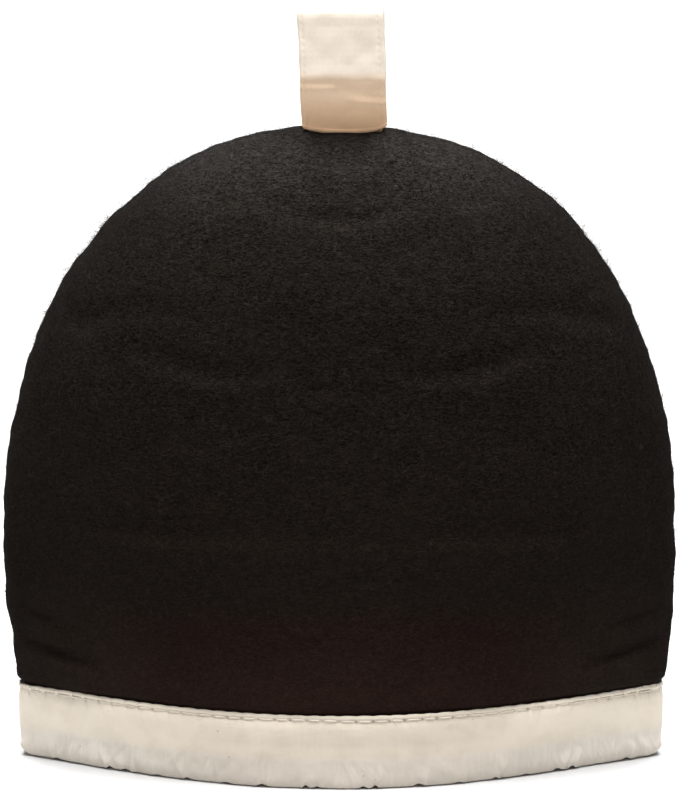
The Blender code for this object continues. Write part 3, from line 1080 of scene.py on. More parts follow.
def loop_points(u, v, face):
    """Points of the loop's outer or inner face, their place on the strip, and normals."""
    row = np.clip((v + 1) / 2 * LOOP_ROWS, 0, LOOP_ROWS)
    tracks = (*loop_path.T, *loop_leans.T, loop_along)
    reach, height, lean_y, lean_z, along = (
        np.interp(row, np.arange(LOOP_ROWS + 1), track) for track in tracks
    )
    spread = crowded(u)
    across = spread * LOOP_WIDTH / 2
    past = np.maximum(0, np.abs(spread) - (1 - LOOP_EDGE_ROUNDING)) / LOOP_EDGE_ROUNDING
    half_thick = LOOP_THICKNESS / 2 * np.sqrt(np.maximum(LOOP_EDGE_LEAST, 1 - past**2))
    relief = loop_relief(across, reach, height, along)
    offset = np.where(face == OUTER, half_thick, -half_thick) + relief
    rise = (height - CROWN_HEIGHT) / (LOOP_FRONT_PATH[-1][1] - CROWN_HEIGHT)
    wander = LOOP_WANDER * waves(along, 0.0, LOOP_WANDER_LENGTHS, count=5, seed=35)
    gather = LOOP_GATHER * (1 - smooth_step(*LOOP_GATHER_HEIGHTS, height))
    flare = 1 + LOOP_FLARE * rise * np.abs(rise) - gather
    x = LOOP_MIDDLE + LOOP_LEAN * rise + across * flare + wander
    foot = 1 - smooth_step(*LOOP_DROOP_HEIGHTS, height)
    foot = foot * smooth_step(*LOOP_DROOP_REACH, -reach)
    corner_rise = np.where(spread < 0, LOOP_LEFT_RISE, LOOP_RIGHT_RISE)
    hang = corner_rise * spread**4 - LOOP_DROOP * (1 - spread**2)
    z = height + lean_y * offset + foot * hang
    places = np.stack([x, reach - lean_z * offset, z], axis=-1)
    normals = np.stack([0 * x, -lean_z, lean_y], axis=-1)
    return places, np.stack([across, along, 0 * along], axis=-1), normals


print("The loop is", LOOP_WIDTH, "wide and", LOOP_THICKNESS, "thick")

# %% [markdown]
# ### Sewing the loop
# The two layers are one closed wall, and each point keeps its place on the strip for the weave.

# %% Make the loop


def make_loop(name):
    """The doubled strip as one closed wall."""
    piece = wall_grid(name, LOOP_COLUMNS, LOOP_ROWS, LOOP_INNER_SHARE)
    u, v, level = points_of(piece.data).T
    places, cloth, _ = loop_points(u, v, -np.rint(level))
    keep_with_points(piece, "cloth", cloth)
    move_points(piece, places)
    print(name, "has", triangles(piece), "triangles")
    return piece


loop_cloth = make_loop("loop_cloth")

# %% [markdown]
# ### Edge stitching on the loop
# A shorter stitch than the hem's runs up both edges of the strip, on both of its faces. It
# starts and stops a few stitches from the strip's ends, which lie hidden in the seam.

# %% Edge stitches
EDGE_THREAD_RADIUS = 0.00014
EDGE_THREAD_DIVE = 0.00024
EDGE_STITCH_SHARE = 0.86
EDGE_STITCH_START = 4
EDGE_STITCH_STOP = 3
COLUMN_TABLE_SIZE = 401


def strip_row(along):
    """The grid share v of a length along the strip."""
    row = np.interp(along, loop_along, np.arange(LOOP_ROWS + 1))
    return row / LOOP_ROWS * 2 - 1


def strip_column(across):
    """The grid share u of a place across the strip."""
    shares = np.linspace(-1, 1, COLUMN_TABLE_SIZE)
    return np.interp(across, crowded(shares) * LOOP_WIDTH / 2, shares)


def make_edge_stitches(name):
    """Both lines of edge stitches, on both faces of the strip."""
    last = int(loop_along[-1] / EDGE_STITCH_PITCH) - EDGE_STITCH_STOP
    holes = np.arange(EDGE_STITCH_START, last)
    from_row = strip_row((holes + (1 - EDGE_STITCH_SHARE) / 2) * EDGE_STITCH_PITCH)
    to_row = strip_row((holes + (1 + EDGE_STITCH_SHARE) / 2) * EDGE_STITCH_PITCH)
    starts, ends, outward = [], [], []
    for line in EDGE_STITCH_LINES:
        column = strip_column(np.full(len(holes), line))
        for face in (OUTER, INNER):
            start, _, normal = loop_points(column, from_row, face)
            end, _, _ = loop_points(column, to_row, face)
            starts.append(start)
            ends.append(end)
            outward.append(normal if face == OUTER else -normal)
    pattern = stitch_pattern(
        name + "_pattern", EDGE_THREAD_RADIUS, EDGE_THREAD_DIVE, EDGE_STITCH_PITCH
    )
    piece = stitches(name, pattern, np.vstack(starts), np.vstack(ends), np.vstack(outward))
    print(name, "has", triangles(piece), "triangles")
    return piece


loop_stitches = make_edge_stitches("loop_stitches")

# %% [markdown]
# ## Fuzz
# Wool felt is a mat of loose crimped fibres. The material draws the mat, and real hairs stand
# on it: short ones that lie nearly flat all over each face, and longer ones along the seam,
# where the outline shows them against the light. Blender's hair would be lost in the export, so
# each is a bent three-sided taper.

# %% Fibre places
FIBRE_SIDES = 3
FIBRE_CUTS = 1
FIBRE_TIP = 0.35
FIBRE_TRIES = 5
FIBRE_COLUMNS = (-0.998, 0.998)
FIBRE_ROWS = (-0.92, 0.999)
SCATTER_STEP = 1e-3


def fibre_pattern(name, radius, bend):
    """A fibre of length 1 that bends towards -x as it rises along z."""
    data = tube_pattern(name, FIBRE_SIDES, FIBRE_CUTS, radius, radius * FIBRE_TIP, False)
    points = points_of(data)
    points[:, 0] -= bend * points[:, 2] ** 2
    data.vertices.foreach_set("co", points.ravel())
    return data


def scatter(side, count, chance, dice):
    """Random places on a panel's outer face: points, outward normals and a direction in it."""
    tries = count * FIBRE_TRIES
    u = dice.uniform(*FIBRE_COLUMNS, tries)
    v = dice.uniform(*FIBRE_ROWS, tries)
    points = felt_points(u, v, OUTER, side)
    along = felt_points(u + SCATTER_STEP, v, OUTER, side) - points
    up = felt_points(u, v + SCATTER_STEP, OUTER, side) - points
    cross = np.cross(along, up)
    weight = np.linalg.norm(cross, axis=-1) * chance(points)
    chosen = dice.choice(tries, count, replace=False, p=weight / weight.sum())
    return points[chosen], unit(cross[chosen]), unit(along[chosen])


# %% [markdown]
# ### Short fuzz and long hairs
# Both kinds are grown by the same function: it picks places, turns each fibre at random in the
# cloth, lifts it off the face and rolls it, so that they bend every way. The chance of a place is
# even for the short ones, and the long ones gather at the seam and are rubbed off by the loop.

# %% Fibres
FIBRE_ROLL = 1.2
SEAM_HAIR_REACH = 0.012
FACE_HAIR_SHARE = 0.02
HAIRLESS_HALF_WIDTH = (0.0200, 0.0260)
HAIRLESS_HEIGHTS = (0.2100, 0.2300)


def all_over(points):
    """Short fibres are as likely anywhere."""
    return np.ones(len(points))


def by_the_seam(points):
    """Long fibres stand mostly near the seam, and are rubbed off round the loop."""
    beside_loop = smooth_step(*HAIRLESS_HALF_WIDTH, np.abs(points[:, 0] - LOOP_MIDDLE))
    below_loop = 1 - smooth_step(*HAIRLESS_HEIGHTS, points[:, 2])
    near_seam = bump(np.abs(points[:, 1]), SEAM_HAIR_REACH) + FACE_HAIR_SHARE
    return near_seam * np.maximum(beside_loop, below_loop)


# how many, shortest and longest, least and most lift in radians, radius and bend as shares
# of the length, and the chance of a place
FUZZ = (8500, (0.0016, 0.0042), (0.02, 0.40), 0.0105, 0.22, all_over)
HAIRS = (6200, (0.0035, 0.0085), (0.15, 1.30), 0.0052, 0.35, by_the_seam)


def make_fibres(name, side, kind, seed):
    """Fibres of one kind standing on a felt panel's outer face."""
    count, lengths, lift, radius, bend, chance = kind
    dice = np.random.default_rng(seed)
    points, normals, tangents = scatter(side, count, chance, dice)
    normals = normals * np.sign(normals[:, 1:2] * side + TINY)
    turn = dice.uniform(0, 2 * math.pi, (count, 1))
    flat = tangents * np.cos(turn) + np.cross(normals, tangents) * np.sin(turn)
    rise = dice.uniform(*lift, (count, 1))
    z_axes = flat * np.cos(rise) + normals * np.sin(rise)
    upright = unit(normals - z_axes * np.sum(normals * z_axes, axis=-1, keepdims=True))
    aside = np.cross(z_axes, upright)
    roll = dice.uniform(-FIBRE_ROLL, FIBRE_ROLL, (count, 1))
    x_axes = upright * np.cos(roll) + aside * np.sin(roll)
    y_axes = aside * np.cos(roll) - upright * np.sin(roll)
    length = dice.uniform(*lengths, (count, 1))
    placings = placings_from(x_axes * length, y_axes * length, z_axes * length, points)
    piece = joined_copies(name, fibre_pattern(name + "_pattern", radius, bend), placings)
    print(name, "has", count, "fibres and", triangles(piece), "triangles")
    return piece


front_fuzz = make_fibres("front_fuzz", FRONT, FUZZ, seed=101)
back_fuzz = make_fibres("back_fuzz", BACK, FUZZ, seed=102)
front_hairs = make_fibres("front_hairs", FRONT, HAIRS, seed=103)
back_hairs = make_fibres("back_hairs", BACK, HAIRS, seed=104)

# %% [markdown]
# ## Materials
# The cloths are drawn with procedural nodes, since a picture of cloth would blur close up and
# show its edges. A small helper adds a node, sets its sockets and wires what it is given, so
# each material reads as a list of steps.

# %% Node helpers
PLAIN_SPECULAR = 0.15


def start_material(name, colour, roughness, specular=PLAIN_SPECULAR):
    """A new material, and its nodes and main shader."""
    material = bpy.data.materials.new(name)
    material.use_nodes = True
    tree = material.node_tree
    shader = tree.nodes["Principled BSDF"]
    shader.inputs["Base Color"].default_value = (*colour, 1)
    shader.inputs["Roughness"].default_value = roughness
    shader.inputs["Specular IOR Level"].default_value = specular
    return material, tree, shader


def add_node(tree, kind, settings=(), **wires):
    """Adds a node. Each wire is a socket's name with _ for a space, or n and its number."""
    node = tree.nodes.new(kind)
    for key, value in dict(settings).items():
        setattr(node, key, value)
    for key, value in wires.items():
        numbered = key[0] == "n" and key[1:].isdigit()
        socket = node.inputs[int(key[1:]) if numbered else key.replace("_", " ")]
        if isinstance(value, bpy.types.NodeSocket):
            tree.links.new(value, socket)
        else:
            socket.default_value = value
    return node


def math_node(tree, operation, first, second=0.0, third=0.0):
    """The output of a Math node."""
    settings = {"operation": operation}
    node = add_node(tree, "ShaderNodeMath", settings, n0=first, n1=second, n2=third)
    return node.outputs[0]


def times(tree, first, second):
    """One number times another."""
    return math_node(tree, "MULTIPLY", first, second)


def larger(tree, first, second):
    """The larger of two numbers, where the first may be missing."""
    return second if first is None else math_node(tree, "MAXIMUM", first, second)


def remap(tree, value, low, high, to_low=0.0, to_high=1.0):
    """value taken smoothly from low..high to to_low..to_high."""
    node = add_node(
        tree, "ShaderNodeMapRange", {"interpolation_type": "SMOOTHSTEP"},
        Value=value, From_Min=low, From_Max=high, To_Min=to_low, To_Max=to_high,
    )
    return node.outputs["Result"]


def mixed(tree, share, first, second):
    """A mix of two colours by share."""
    node = add_node(tree, "ShaderNodeMix", {"data_type": "RGBA"}, n0=share, n6=first, n7=second)
    return node.outputs[2]


# %% [markdown]
# ### Places and textures
# These helpers read a point's place, split it into its axes and draw a noise there. A place can
# be stretched first, because a fibre, a slub or a rib is a noise drawn out one way.

# %% Texture helpers


def noise(tree, place, scale, detail, roughness=0.5, distortion=0.0):
    """The height of a noise texture at a place."""
    node = add_node(
        tree, "ShaderNodeTexNoise", (),
        Vector=place, Scale=scale, Detail=detail, Roughness=roughness, Distortion=distortion,
    )
    return node.outputs["Fac"]


def stretched(tree, place, scale, turn=(0.0, 0.0, 0.0)):
    """A place scaled and turned by a Mapping node."""
    node = add_node(
        tree, "ShaderNodeMapping", {"vector_type": "POINT"},
        Vector=place, Scale=scale, Rotation=turn,
    )
    return node.outputs["Vector"]


def object_place(tree):
    """A point's place in the object, in metres."""
    return add_node(tree, "ShaderNodeTexCoord").outputs["Object"]


def axes_of(tree, place):
    """The X, Y and Z of a place."""
    return add_node(tree, "ShaderNodeSeparateXYZ", (), Vector=place).outputs


def put_bump(tree, shader, strength, distance, height):
    """Gives a shader a bump of a strength and distance."""
    node = add_node(
        tree, "ShaderNodeBump", (), Strength=strength, Distance=distance, Height=height
    )
    tree.links.new(node.outputs["Normal"], shader.inputs["Normal"])


# %% [markdown]
# ### Tints by place
# Some tints are the cloth's own uneven colour, and some are painted light and shade: places made
# lighter where light falls on them, or darker where shade falls. Each row of a table multiplies
# the colour by a tint, which comes in between two heights and between two distances from the
# middle.

# %% Tints
PLAIN_TINT = (1.0, 1.0, 1.0, 1)
ANY_HEIGHT = (-0.20, -0.10)
EVERYWHERE = (0.30, 0.29)


def tinted_by_place(tree, colour, place, tints):
    """A colour multiplied by tints that come in over named heights and distances aside."""
    axes = axes_of(tree, place)
    aside = math_node(tree, "ABSOLUTE", axes["X"])
    for heights, distances, tint in tints:
        share = times(tree, remap(tree, axes["Z"], *heights), remap(tree, aside, *distances))
        own_tint = mixed(tree, share, PLAIN_TINT, (*tint, 1))
        node = add_node(
            tree, "ShaderNodeVectorMath", {"operation": "MULTIPLY"}, n0=colour, n1=own_tint
        )
        colour = node.outputs[0]
    return colour


# %% [markdown]
# ### Black felt
# Dyed wool is nearly black with a brown cast. Close up it is a tangle of thin curved fibres over
# an uneven mat. One noise alone looks like sponge, so the fibres are drawn as the level lines of
# several stretched noises, laid over one another and broken here and there. Sheen would make
# the whole outline pale, so the real hairs do that work instead.

# %% Felt fibres
NAP_LAYERS = (
    # scale, stretch, turn
    (1600.0, (0.30, 0.60, 1.0), (0.0, 0.16, 0.3)),
    (1450.0, (0.34, 0.60, 1.0), (0.0, -0.24, -0.3)),
    (1600.0, (0.70, 0.60, 0.7), (0.4, 0.9, 0.2)),
)
FIBRE_LAYERS = (
    # scale, stretch, turn
    (330.0, (0.35, 1.0, 1.0), (0.2, 0.35, 0.2)),
    (400.0, (0.40, 1.0, 1.0), (0.6, -0.40, -0.3)),
    (260.0, (1.0, 0.6, 0.8), (0.2, 1.2, 0.5)),
)
STRAND_WIDTH = 0.016
BROKEN_SCALE = 1.7
BROKEN_RANGE = (0.46, 0.58)


def felt_mat(tree, place):
    """The uneven mat under the fibres."""
    mat = None
    for scale, stretch, turn in NAP_LAYERS:
        turned = stretched(tree, place, stretch, turn)
        nap = noise(tree, turned, scale, detail=2.0, roughness=0.6, distortion=0.8)
        mat = larger(tree, mat, nap)
    return mat


def felt_strands(tree, place):
    """Thin curved fibres: the level lines of stretched noises, broken here and there."""
    strands = None
    for scale, stretch, turn in FIBRE_LAYERS:
        turned = stretched(tree, place, stretch, turn)
        field = noise(tree, turned, scale, detail=2.0, roughness=0.55, distortion=0.6)
        off_line = math_node(tree, "ABSOLUTE", math_node(tree, "SUBTRACT", field, 0.5))
        line = remap(tree, off_line, 0.0, STRAND_WIDTH, 1.0, 0.0)
        breaks = noise(tree, place, scale * BROKEN_SCALE, detail=1.0)
        line = times(tree, line, remap(tree, breaks, *BROKEN_RANGE))
        strands = larger(tree, strands, line)
    return strands


print("Layers of nap and of fibres:", len(NAP_LAYERS), len(FIBRE_LAYERS))

# %% [markdown]
# ### The felt's colour
# The mat mixes a dark and a light felt, soft clouds lift it a little, and the fibres are paler
# still. Towards the hem the nap is pressed flat, so there the pattern gives way to an even mean.

# %% Felt material
FELT_DARK = (0.0010, 0.0007, 0.0005, 1)
FELT_LIGHT = (0.0123, 0.0097, 0.0079, 1)
FELT_FIBRE = (0.0210, 0.0175, 0.0148, 1)
FELT_MEAN = (0.0056, 0.0044, 0.0035, 1)
FELT_ROUGHNESS = 0.95
FELT_SPECULAR = 0.03
MAT_RANGE = (0.44, 0.76)
CLOUD_SCALE = 55.0
CLOUD_RANGE = (0.35, 0.65)
CLOUD_SHARE = 0.08
STRAND_SHARE = 0.55
STRAND_RELIEF = 0.35
CALM_HEIGHTS = (0.1700, 0.0300)
CALM_SHARE = 0.60
FELT_BUMPS = (0.85, 0.30)
FELT_BUMP_DISTANCE = 0.0007
FELT_TINTS_AND_PAINTED_LIGHT = (
    # heights of none and all of it, distances aside of none and all of it, tint
    # painted light: the crown lighter towards its top and middle, where the top box lights it, and
    # cooler higher up
    ((0.1800, 0.2020), (0.0750, 0.0500), (1.28, 1.28, 1.28)),
    ((0.2120, 0.2400), (0.1000, 0.0700), (1.50, 1.62, 1.77)),
    # painted shadow: the crown just under the loop darker, where the loop shades it
    ((0.2330, 0.2450), (0.0160, 0.0080), (0.62, 0.62, 0.62)),
    ((0.2300, 0.0850), EVERYWHERE, (1.14, 1.00, 0.93)),
    ((0.0740, 0.0600), (0.1150, 0.0300), (1.30, 0.97, 1.05)),
    # painted light: lighter towards the hem, standing in for light thrown up from the table
    ((0.0620, 0.0320), EVERYWHERE, (1.45, 1.45, 1.45)),
    ((0.0800, 0.0600), (0.0600, 0.0950), (1.20, 1.20, 1.20)),
)


def wool_felt(name):
    """Black felt with its mat, clouds and fibres, and tints that include painted light and shade.
    """
    material, tree, shader = start_material(name, FELT_DARK[:3], FELT_ROUGHNESS, FELT_SPECULAR)
    place = object_place(tree)
    mat = felt_mat(tree, place)
    strands = felt_strands(tree, place)
    tone = mixed(tree, remap(tree, mat, *MAT_RANGE), FELT_DARK, FELT_LIGHT)
    clouds = noise(tree, place, CLOUD_SCALE, detail=3.0)
    tone = mixed(tree, remap(tree, clouds, *CLOUD_RANGE, 0.0, CLOUD_SHARE), tone, FELT_LIGHT)
    tone = mixed(tree, times(tree, strands, STRAND_SHARE), tone, FELT_FIBRE)
    rise = axes_of(tree, place)["Z"]
    calm = remap(tree, rise, *CALM_HEIGHTS, 0.0, CALM_SHARE)
    # The tints paint light on the crown, a shadow under the loop and light from the table just
    # above the hem; the others make the felt warmer, redder or lighter low down.
    tone = tinted_by_place(tree, mixed(tree, calm, tone, FELT_MEAN), place, FELT_TINTS_AND_PAINTED_LIGHT)
    tree.links.new(tone, shader.inputs["Base Color"])
    height = math_node(tree, "MULTIPLY_ADD", strands, STRAND_RELIEF, mat)
    strength = remap(tree, rise, *CALM_HEIGHTS, *FELT_BUMPS)
    put_bump(tree, shader, strength, FELT_BUMP_DISTANCE, height)
    return material


FIBRE_COLOUR = (0.0100, 0.0082, 0.0070)
FIBRE_ROUGHNESS = 0.75
FIBRE_SPECULAR = 0.05

felt_material = wool_felt("wool_felt")
fibre_material, _, _ = start_material(
    "wool_fibre", FIBRE_COLOUR, FIBRE_ROUGHNESS, FIBRE_SPECULAR
)
print("Nodes in the felt:", len(felt_material.node_tree.nodes))

# %% [markdown]
# ### Calico
# Calico is unbleached plain weave: warp and weft of about 22 threads to the centimetre, uneven
# because the yarn has slubs, and flecked with bits of seed. A pattern on the object's own axes
# would slide off a bent strip, so the weave follows the cloth: it reads each point's own place
# on its strip, stored with the mesh in metres.

# %% Weave, slubs and flecks
THREADS_PER_METRE = 2200.0
DRIFT_SCALE = 420.0
DRIFT = (0.0003, 0.0003, 0.0)
WEFT_STRETCH = (55.0, 1300.0, 1.0)
WARP_STRETCH = (1300.0, 55.0, 1.0)
WEFT_SLUBS = (0.60, 0.76)
WARP_SLUBS = (0.63, 0.78)
FLECK_SCALE = 210.0
FLECK_SIZE = (0.05, 0.11)
FLECK_RARITY = (0.86, 0.92)
FLECK_STRENGTH = 0.6


def weave_height(tree, cloth):
    """The crests of a plain weave whose threads wander a little."""
    drift = add_node(tree, "ShaderNodeTexNoise", (), Vector=cloth, Scale=DRIFT_SCALE, Detail=2.0)
    nudged = add_node(
        tree, "ShaderNodeVectorMath", {"operation": "MULTIPLY_ADD"},
        n0=drift.outputs["Color"], n1=DRIFT, n2=cloth,
    )
    axes = axes_of(tree, nudged.outputs[0])
    crests = []
    for axis in ("X", "Y"):
        turns = times(tree, axes[axis], THREADS_PER_METRE * math.pi)
        crests.append(math_node(tree, "ABSOLUTE", math_node(tree, "SINE", turns)))
    return times(tree, *crests)


def strip_noise(tree, cloth, stretch):
    """A noise drawn out along the strip or across it."""
    return noise(tree, stretched(tree, cloth, stretch), scale=1.0, detail=2.0, roughness=0.6)


def slub_height(tree, cloth):
    """Thick places in the yarn, in the weft and in the warp."""
    weft = remap(tree, strip_noise(tree, cloth, WEFT_STRETCH), *WEFT_SLUBS)
    warp = remap(tree, strip_noise(tree, cloth, WARP_STRETCH), *WARP_SLUBS)
    return larger(tree, weft, warp)


def seed_flecks(tree, cloth):
    """Small round bits of seed, in a few of the cells of a Voronoi texture."""
    cells = add_node(
        tree, "ShaderNodeTexVoronoi", {"feature": "F1"}, Vector=cloth, Scale=FLECK_SCALE
    ).outputs
    rare = remap(tree, axes_of(tree, cells["Color"])["X"], *FLECK_RARITY, 0.0, FLECK_STRENGTH)
    return times(tree, remap(tree, cells["Distance"], *FLECK_SIZE, 1.0, 0.0), rare)


print("Threads to the centimetre:", THREADS_PER_METRE / 100)

# %% [markdown]
# ### Calico, put together
# Each strip has a colour and a slightly darker shade for its thin places and the gaps between its
# threads. The hem's strip also has painted shade in its needle holes and in the ribs where it
# turns under. Its tints paint light on its ends and shade across the top of its middle, and the
# loop's tints paint shade below its buckle.

# %% Calico material
CALICO_ROUGHNESS = 0.85
CALICO_SHEEN = 0.06
CALICO_BUMP = 0.45
CALICO_BUMP_DISTANCE = 0.00012
SEED_FLECK = (0.30, 0.20, 0.11, 1)
# painted shade in the needle holes
NEEDLE_HOLE_SHADE = (0.10, 0.08, 0.06, 1)
NEEDLE_SHADE_RANGE = (0.22, 0.72)
NEEDLE_SHADE_SHARE = 0.95
SLUB_COLOUR = (0.72, 0.66, 0.56, 1)
SLUB_SHARE = 0.12
SLUB_RELIEF = 0.35
THIN_SCALE = 110.0
THIN_RANGE = (0.40, 0.70)
THIN_SHADE = 0.5
GAP_WIDTH = 0.35
GAP_SHADE = 0.35
RIBBED_HEIGHTS = (0.0132, 0.0100)
RIB_STRETCH = (850.0, 40.0, 1.0)
RIB_RANGE = (0.45, 0.70)
BAND_COLOURS = ((0.579, 0.511, 0.425), (0.511, 0.445, 0.364))
BAND_RIB_PAINTED_SHADE = 0.20
BAND_TINTS_AND_PAINTED_LIGHT = (
    # heights of none and all of it, distances aside of none and all of it, tint
    # a little cooler below the ribbed line
    ((0.0132, 0.0108), EVERYWHERE, (1.01, 1.03, 1.08)),
    # painted shade: the upper band darker across its middle, toning down the light it takes from
    # above
    ((0.0150, 0.0185), (0.0750, 0.0400), (0.93, 0.935, 0.94)),
    # painted light: the band lighter towards its ends, where it turns to the side light
    (ANY_HEIGHT, (0.0350, 0.1050), (1.16, 1.18, 1.20)),
)
LOOP_COLOURS = ((0.577, 0.510, 0.436), (0.510, 0.436, 0.358))
LOOP_PAINTED_SHADE = (
    # heights of none and all of it, distances aside of none and all of it, tint
    # painted shade: below the buckle the leg turns down, away from the light, so its colour is
    # painted darker and warmer, and a little lighter again further down
    ((0.2722, 0.2666), EVERYWHERE, (1.20, 1.015, 0.845)),
    ((0.2722, 0.2690), EVERYWHERE, (0.88, 0.88, 0.88)),
    ((0.2650, 0.2620), EVERYWHERE, (1.10, 1.10, 1.10)),
    ((0.2640, 0.2480), EVERYWHERE, (1.02, 0.89, 0.77)),
)


def needle_hole_shade(tree, tone):
    """A colour with painted shade in the needle holes, whose nearness is stored with the mesh."""
    hole_nearness = add_node(tree, "ShaderNodeAttribute", {"attribute_name": "needle"}).outputs["Fac"]
    return mixed(tree, remap(tree, hole_nearness, *NEEDLE_SHADE_RANGE, 0.0, NEEDLE_SHADE_SHARE), tone, NEEDLE_HOLE_SHADE)


def painted_rib_shade(tree, cloth, place, tone, shade):
    """A colour with painted shade in the ribs of the turned-under third."""
    ribs = remap(tree, strip_noise(tree, cloth, RIB_STRETCH), *RIB_RANGE, 0.0, BAND_RIB_PAINTED_SHADE)
    ribs = times(tree, ribs, remap(tree, axes_of(tree, place)["Z"], *RIBBED_HEIGHTS))
    return mixed(tree, ribs, tone, shade)


def calico(name, colours, tints, is_hem):
    """Plain-weave calico of a colour and a shade, tinted by place, with painted light and shade
    among the tints.
    """
    colour, shade = ((*rgb, 1) for rgb in colours)
    material, tree, shader = start_material(name, colours[0], CALICO_ROUGHNESS)
    cloth = add_node(tree, "ShaderNodeAttribute", {"attribute_name": "cloth"}).outputs["Vector"]
    place = object_place(tree)
    weave = weave_height(tree, cloth)
    slubs = slub_height(tree, cloth)
    thin = noise(tree, cloth, THIN_SCALE, detail=3.0, roughness=0.6)
    tone = mixed(tree, remap(tree, thin, *THIN_RANGE, 0.0, THIN_SHADE), colour, shade)
    tone = mixed(tree, times(tree, slubs, SLUB_SHARE), tone, SLUB_COLOUR)
    tone = mixed(tree, remap(tree, weave, 0.0, GAP_WIDTH, GAP_SHADE, 0.0), tone, shade)
    tone = mixed(tree, seed_flecks(tree, cloth), tone, SEED_FLECK)
    if is_hem:
        tone = needle_hole_shade(tree, tone)
    tone = tinted_by_place(tree, tone, place, tints)
    if is_hem:
        tone = painted_rib_shade(tree, cloth, place, tone, shade)
    tree.links.new(tone, shader.inputs["Base Color"])
    height = math_node(tree, "MULTIPLY_ADD", slubs, SLUB_RELIEF, weave)
    put_bump(tree, shader, CALICO_BUMP, CALICO_BUMP_DISTANCE, height)
    shader.inputs["Sheen Weight"].default_value = CALICO_SHEEN
    return material


band_material = calico("band_calico", BAND_COLOURS, BAND_TINTS_AND_PAINTED_LIGHT, is_hem=True)
loop_material = calico("loop_calico", LOOP_COLOURS, LOOP_PAINTED_SHADE, is_hem=False)
print("Nodes in the hem's calico:", len(band_material.node_tree.nodes))

# %% [markdown]
# ### Thread and the rest
# The thread is plain cotton, a little darker than the cloth. On the loop it takes the loop's
# painted shade, or it would stand out against the painted shade under the buckle. Then each piece
# gets its material.

# %% Thread material
THREAD_COLOUR = (0.56, 0.50, 0.42)
THREAD_ROUGHNESS = 0.7


def thread(name, tints):
    """Cotton thread, tinted by place like the cloth that it is sewn in, painted shade included."""
    material, tree, shader = start_material(name, THREAD_COLOUR, THREAD_ROUGHNESS)
    if tints:
        tone = tinted_by_place(tree, THREAD_COLOUR, object_place(tree), tints)
        tree.links.new(tone, shader.inputs["Base Color"])
    return material


thread_material = thread("cotton_thread", ())
loop_thread_material = thread("loop_thread", LOOP_PAINTED_SHADE)

MATERIALS = (
    (felt_material, (front_felt, back_felt)),
    (fibre_material, (front_fuzz, back_fuzz, front_hairs, back_hairs)),
    (band_material, (front_band, back_band)),
    (thread_material, (front_topstitch, back_topstitch)),
    (loop_material, (loop_cloth,)),
    (loop_thread_material, (loop_stitches,)),
)
for material, pieces in MATERIALS:
    for piece in pieces:
        piece.data.materials.append(material)
print("Materials:", len(MATERIALS))

# %% [markdown]
# ## Studio
# A plain pale table runs far out behind the cosy. A curved backdrop would do the same work but
# would show in views from the side, so the table is flat.

# %% Table
TABLE_HALF_SIZE = 12.0
TABLE_COLOUR = (0.50, 0.50, 0.50)
TABLE_ROUGHNESS = 0.9
TABLE_DROP = 0.0001

mesh = bmesh.new()
bmesh.ops.create_grid(mesh, x_segments=1, y_segments=1, size=TABLE_HALF_SIZE)
bmesh.ops.translate(mesh, verts=mesh.verts, vec=(0, 0, -TABLE_DROP))
table = object_from("table", mesh)
table_material, _, _ = start_material("table_white", TABLE_COLOUR, TABLE_ROUGHNESS)
table.data.materials.append(table_material)
print("The table is", 2 * TABLE_HALF_SIZE, "metres wide")

# %% [markdown]
# ### Lights
# One soft box hangs overhead, a second lights the table well behind, and a low wide fill stands
# in front of the cosy, so the crown is lit and the sides fall away. A dim white room keeps the
# shadows open. A sun would draw hard edges on the folds, so all the lights are wide.

# %% Lights
ROOM_COLOUR = (1, 1, 1, 1)
ROOM_LIGHT = 0.05
SOFT_LIGHTS = (
    # name, width, length, place, tilt in degrees, watts
    ("top_box", 1.8, 1.8, (0.0, 0.0, 2.3), 0.0, 235.0),
    ("far_box", 3.4, 1.8, (0.0, 2.4, 1.7), 0.0, 75.0),
    ("fill", 7.0, 1.2, (0.0, -1.8, 0.8), 75.0, 22.5),
)

world = bpy.data.worlds.new("room")
world.use_nodes = True
room = world.node_tree.nodes["Background"].inputs
room["Color"].default_value = ROOM_COLOUR
room["Strength"].default_value = ROOM_LIGHT
scene.world = world

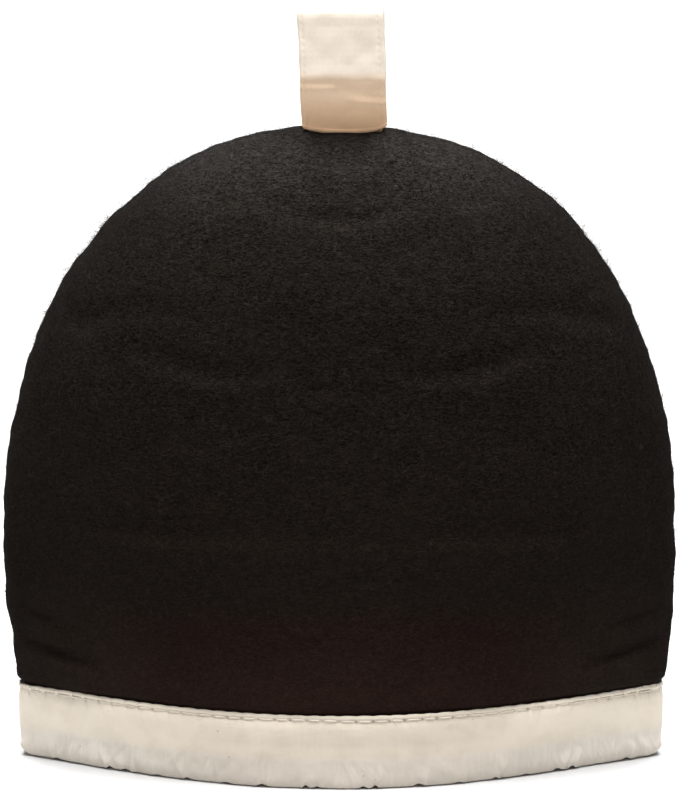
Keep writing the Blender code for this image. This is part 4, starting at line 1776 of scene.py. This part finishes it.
for name, width, length, place, tilt, watts in SOFT_LIGHTS:
    light = bpy.data.lights.new(name, "AREA")
    light.shape = "RECTANGLE"
    light.size = width
    light.size_y = length
    light.energy = watts
    soft_light = bpy.data.objects.new(name, light)
    soft_light.location = place
    soft_light.rotation_euler = (math.radians(tilt), 0, 0)
    scene.collection.objects.link(soft_light)
print("Soft lights:", len(SOFT_LIGHTS))

# %% [markdown]
# ### Camera
# A long lens from well back keeps the cosy's sides upright, as in a product picture. It looks
# down a little, so that the hem's curve shows.

# %% Camera
CAMERA_DISTANCE = 2.4
CAMERA_PITCH = math.radians(11.0)
CAMERA_AIM_HEIGHT = 0.1415
CAMERA_LENS = 279.4
CAMERA_CLIP_END = 100

camera_data = bpy.data.cameras.new("camera")
camera_data.lens = CAMERA_LENS
camera_data.clip_end = CAMERA_CLIP_END
camera = bpy.data.objects.new("camera", camera_data)
camera.location = (
    0,
    -CAMERA_DISTANCE * math.cos(CAMERA_PITCH),
    CAMERA_AIM_HEIGHT + CAMERA_DISTANCE * math.sin(CAMERA_PITCH),
)
camera.rotation_euler = (math.pi / 2 - CAMERA_PITCH, 0, 0)
scene.collection.objects.link(camera)
scene.camera = camera
scene.view_settings.view_transform = "Standard"
print("Lens:", CAMERA_LENS, "mm at", CAMERA_DISTANCE, "metres")

# %% [markdown]
# ## Joining the frame
# The cosy is one body, so every piece rides on root. Each cloth stands in for its plain solid,
# which is hidden.

FELT_PIECES = (front_felt, back_felt, front_fuzz, back_fuzz, front_hairs, back_hairs)
BAND_PIECES = (front_band, back_band, front_topstitch, back_topstitch)
LOOP_PIECES = (loop_cloth, loop_stitches)

for slot_name, pieces in (
    ("black_felt", FELT_PIECES),
    ("calico", BAND_PIECES),
    ("loop_calico", LOOP_PIECES),
):
    for piece in pieces:
        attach(piece, "root")

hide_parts("front_panel")
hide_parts("back_panel")
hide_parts("front_hem_band")
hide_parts("back_hem_band")
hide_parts("hanging_loop")

print("Triangles in all:", sum(triangles(p) for p in FELT_PIECES + BAND_PIECES + LOOP_PIECES))
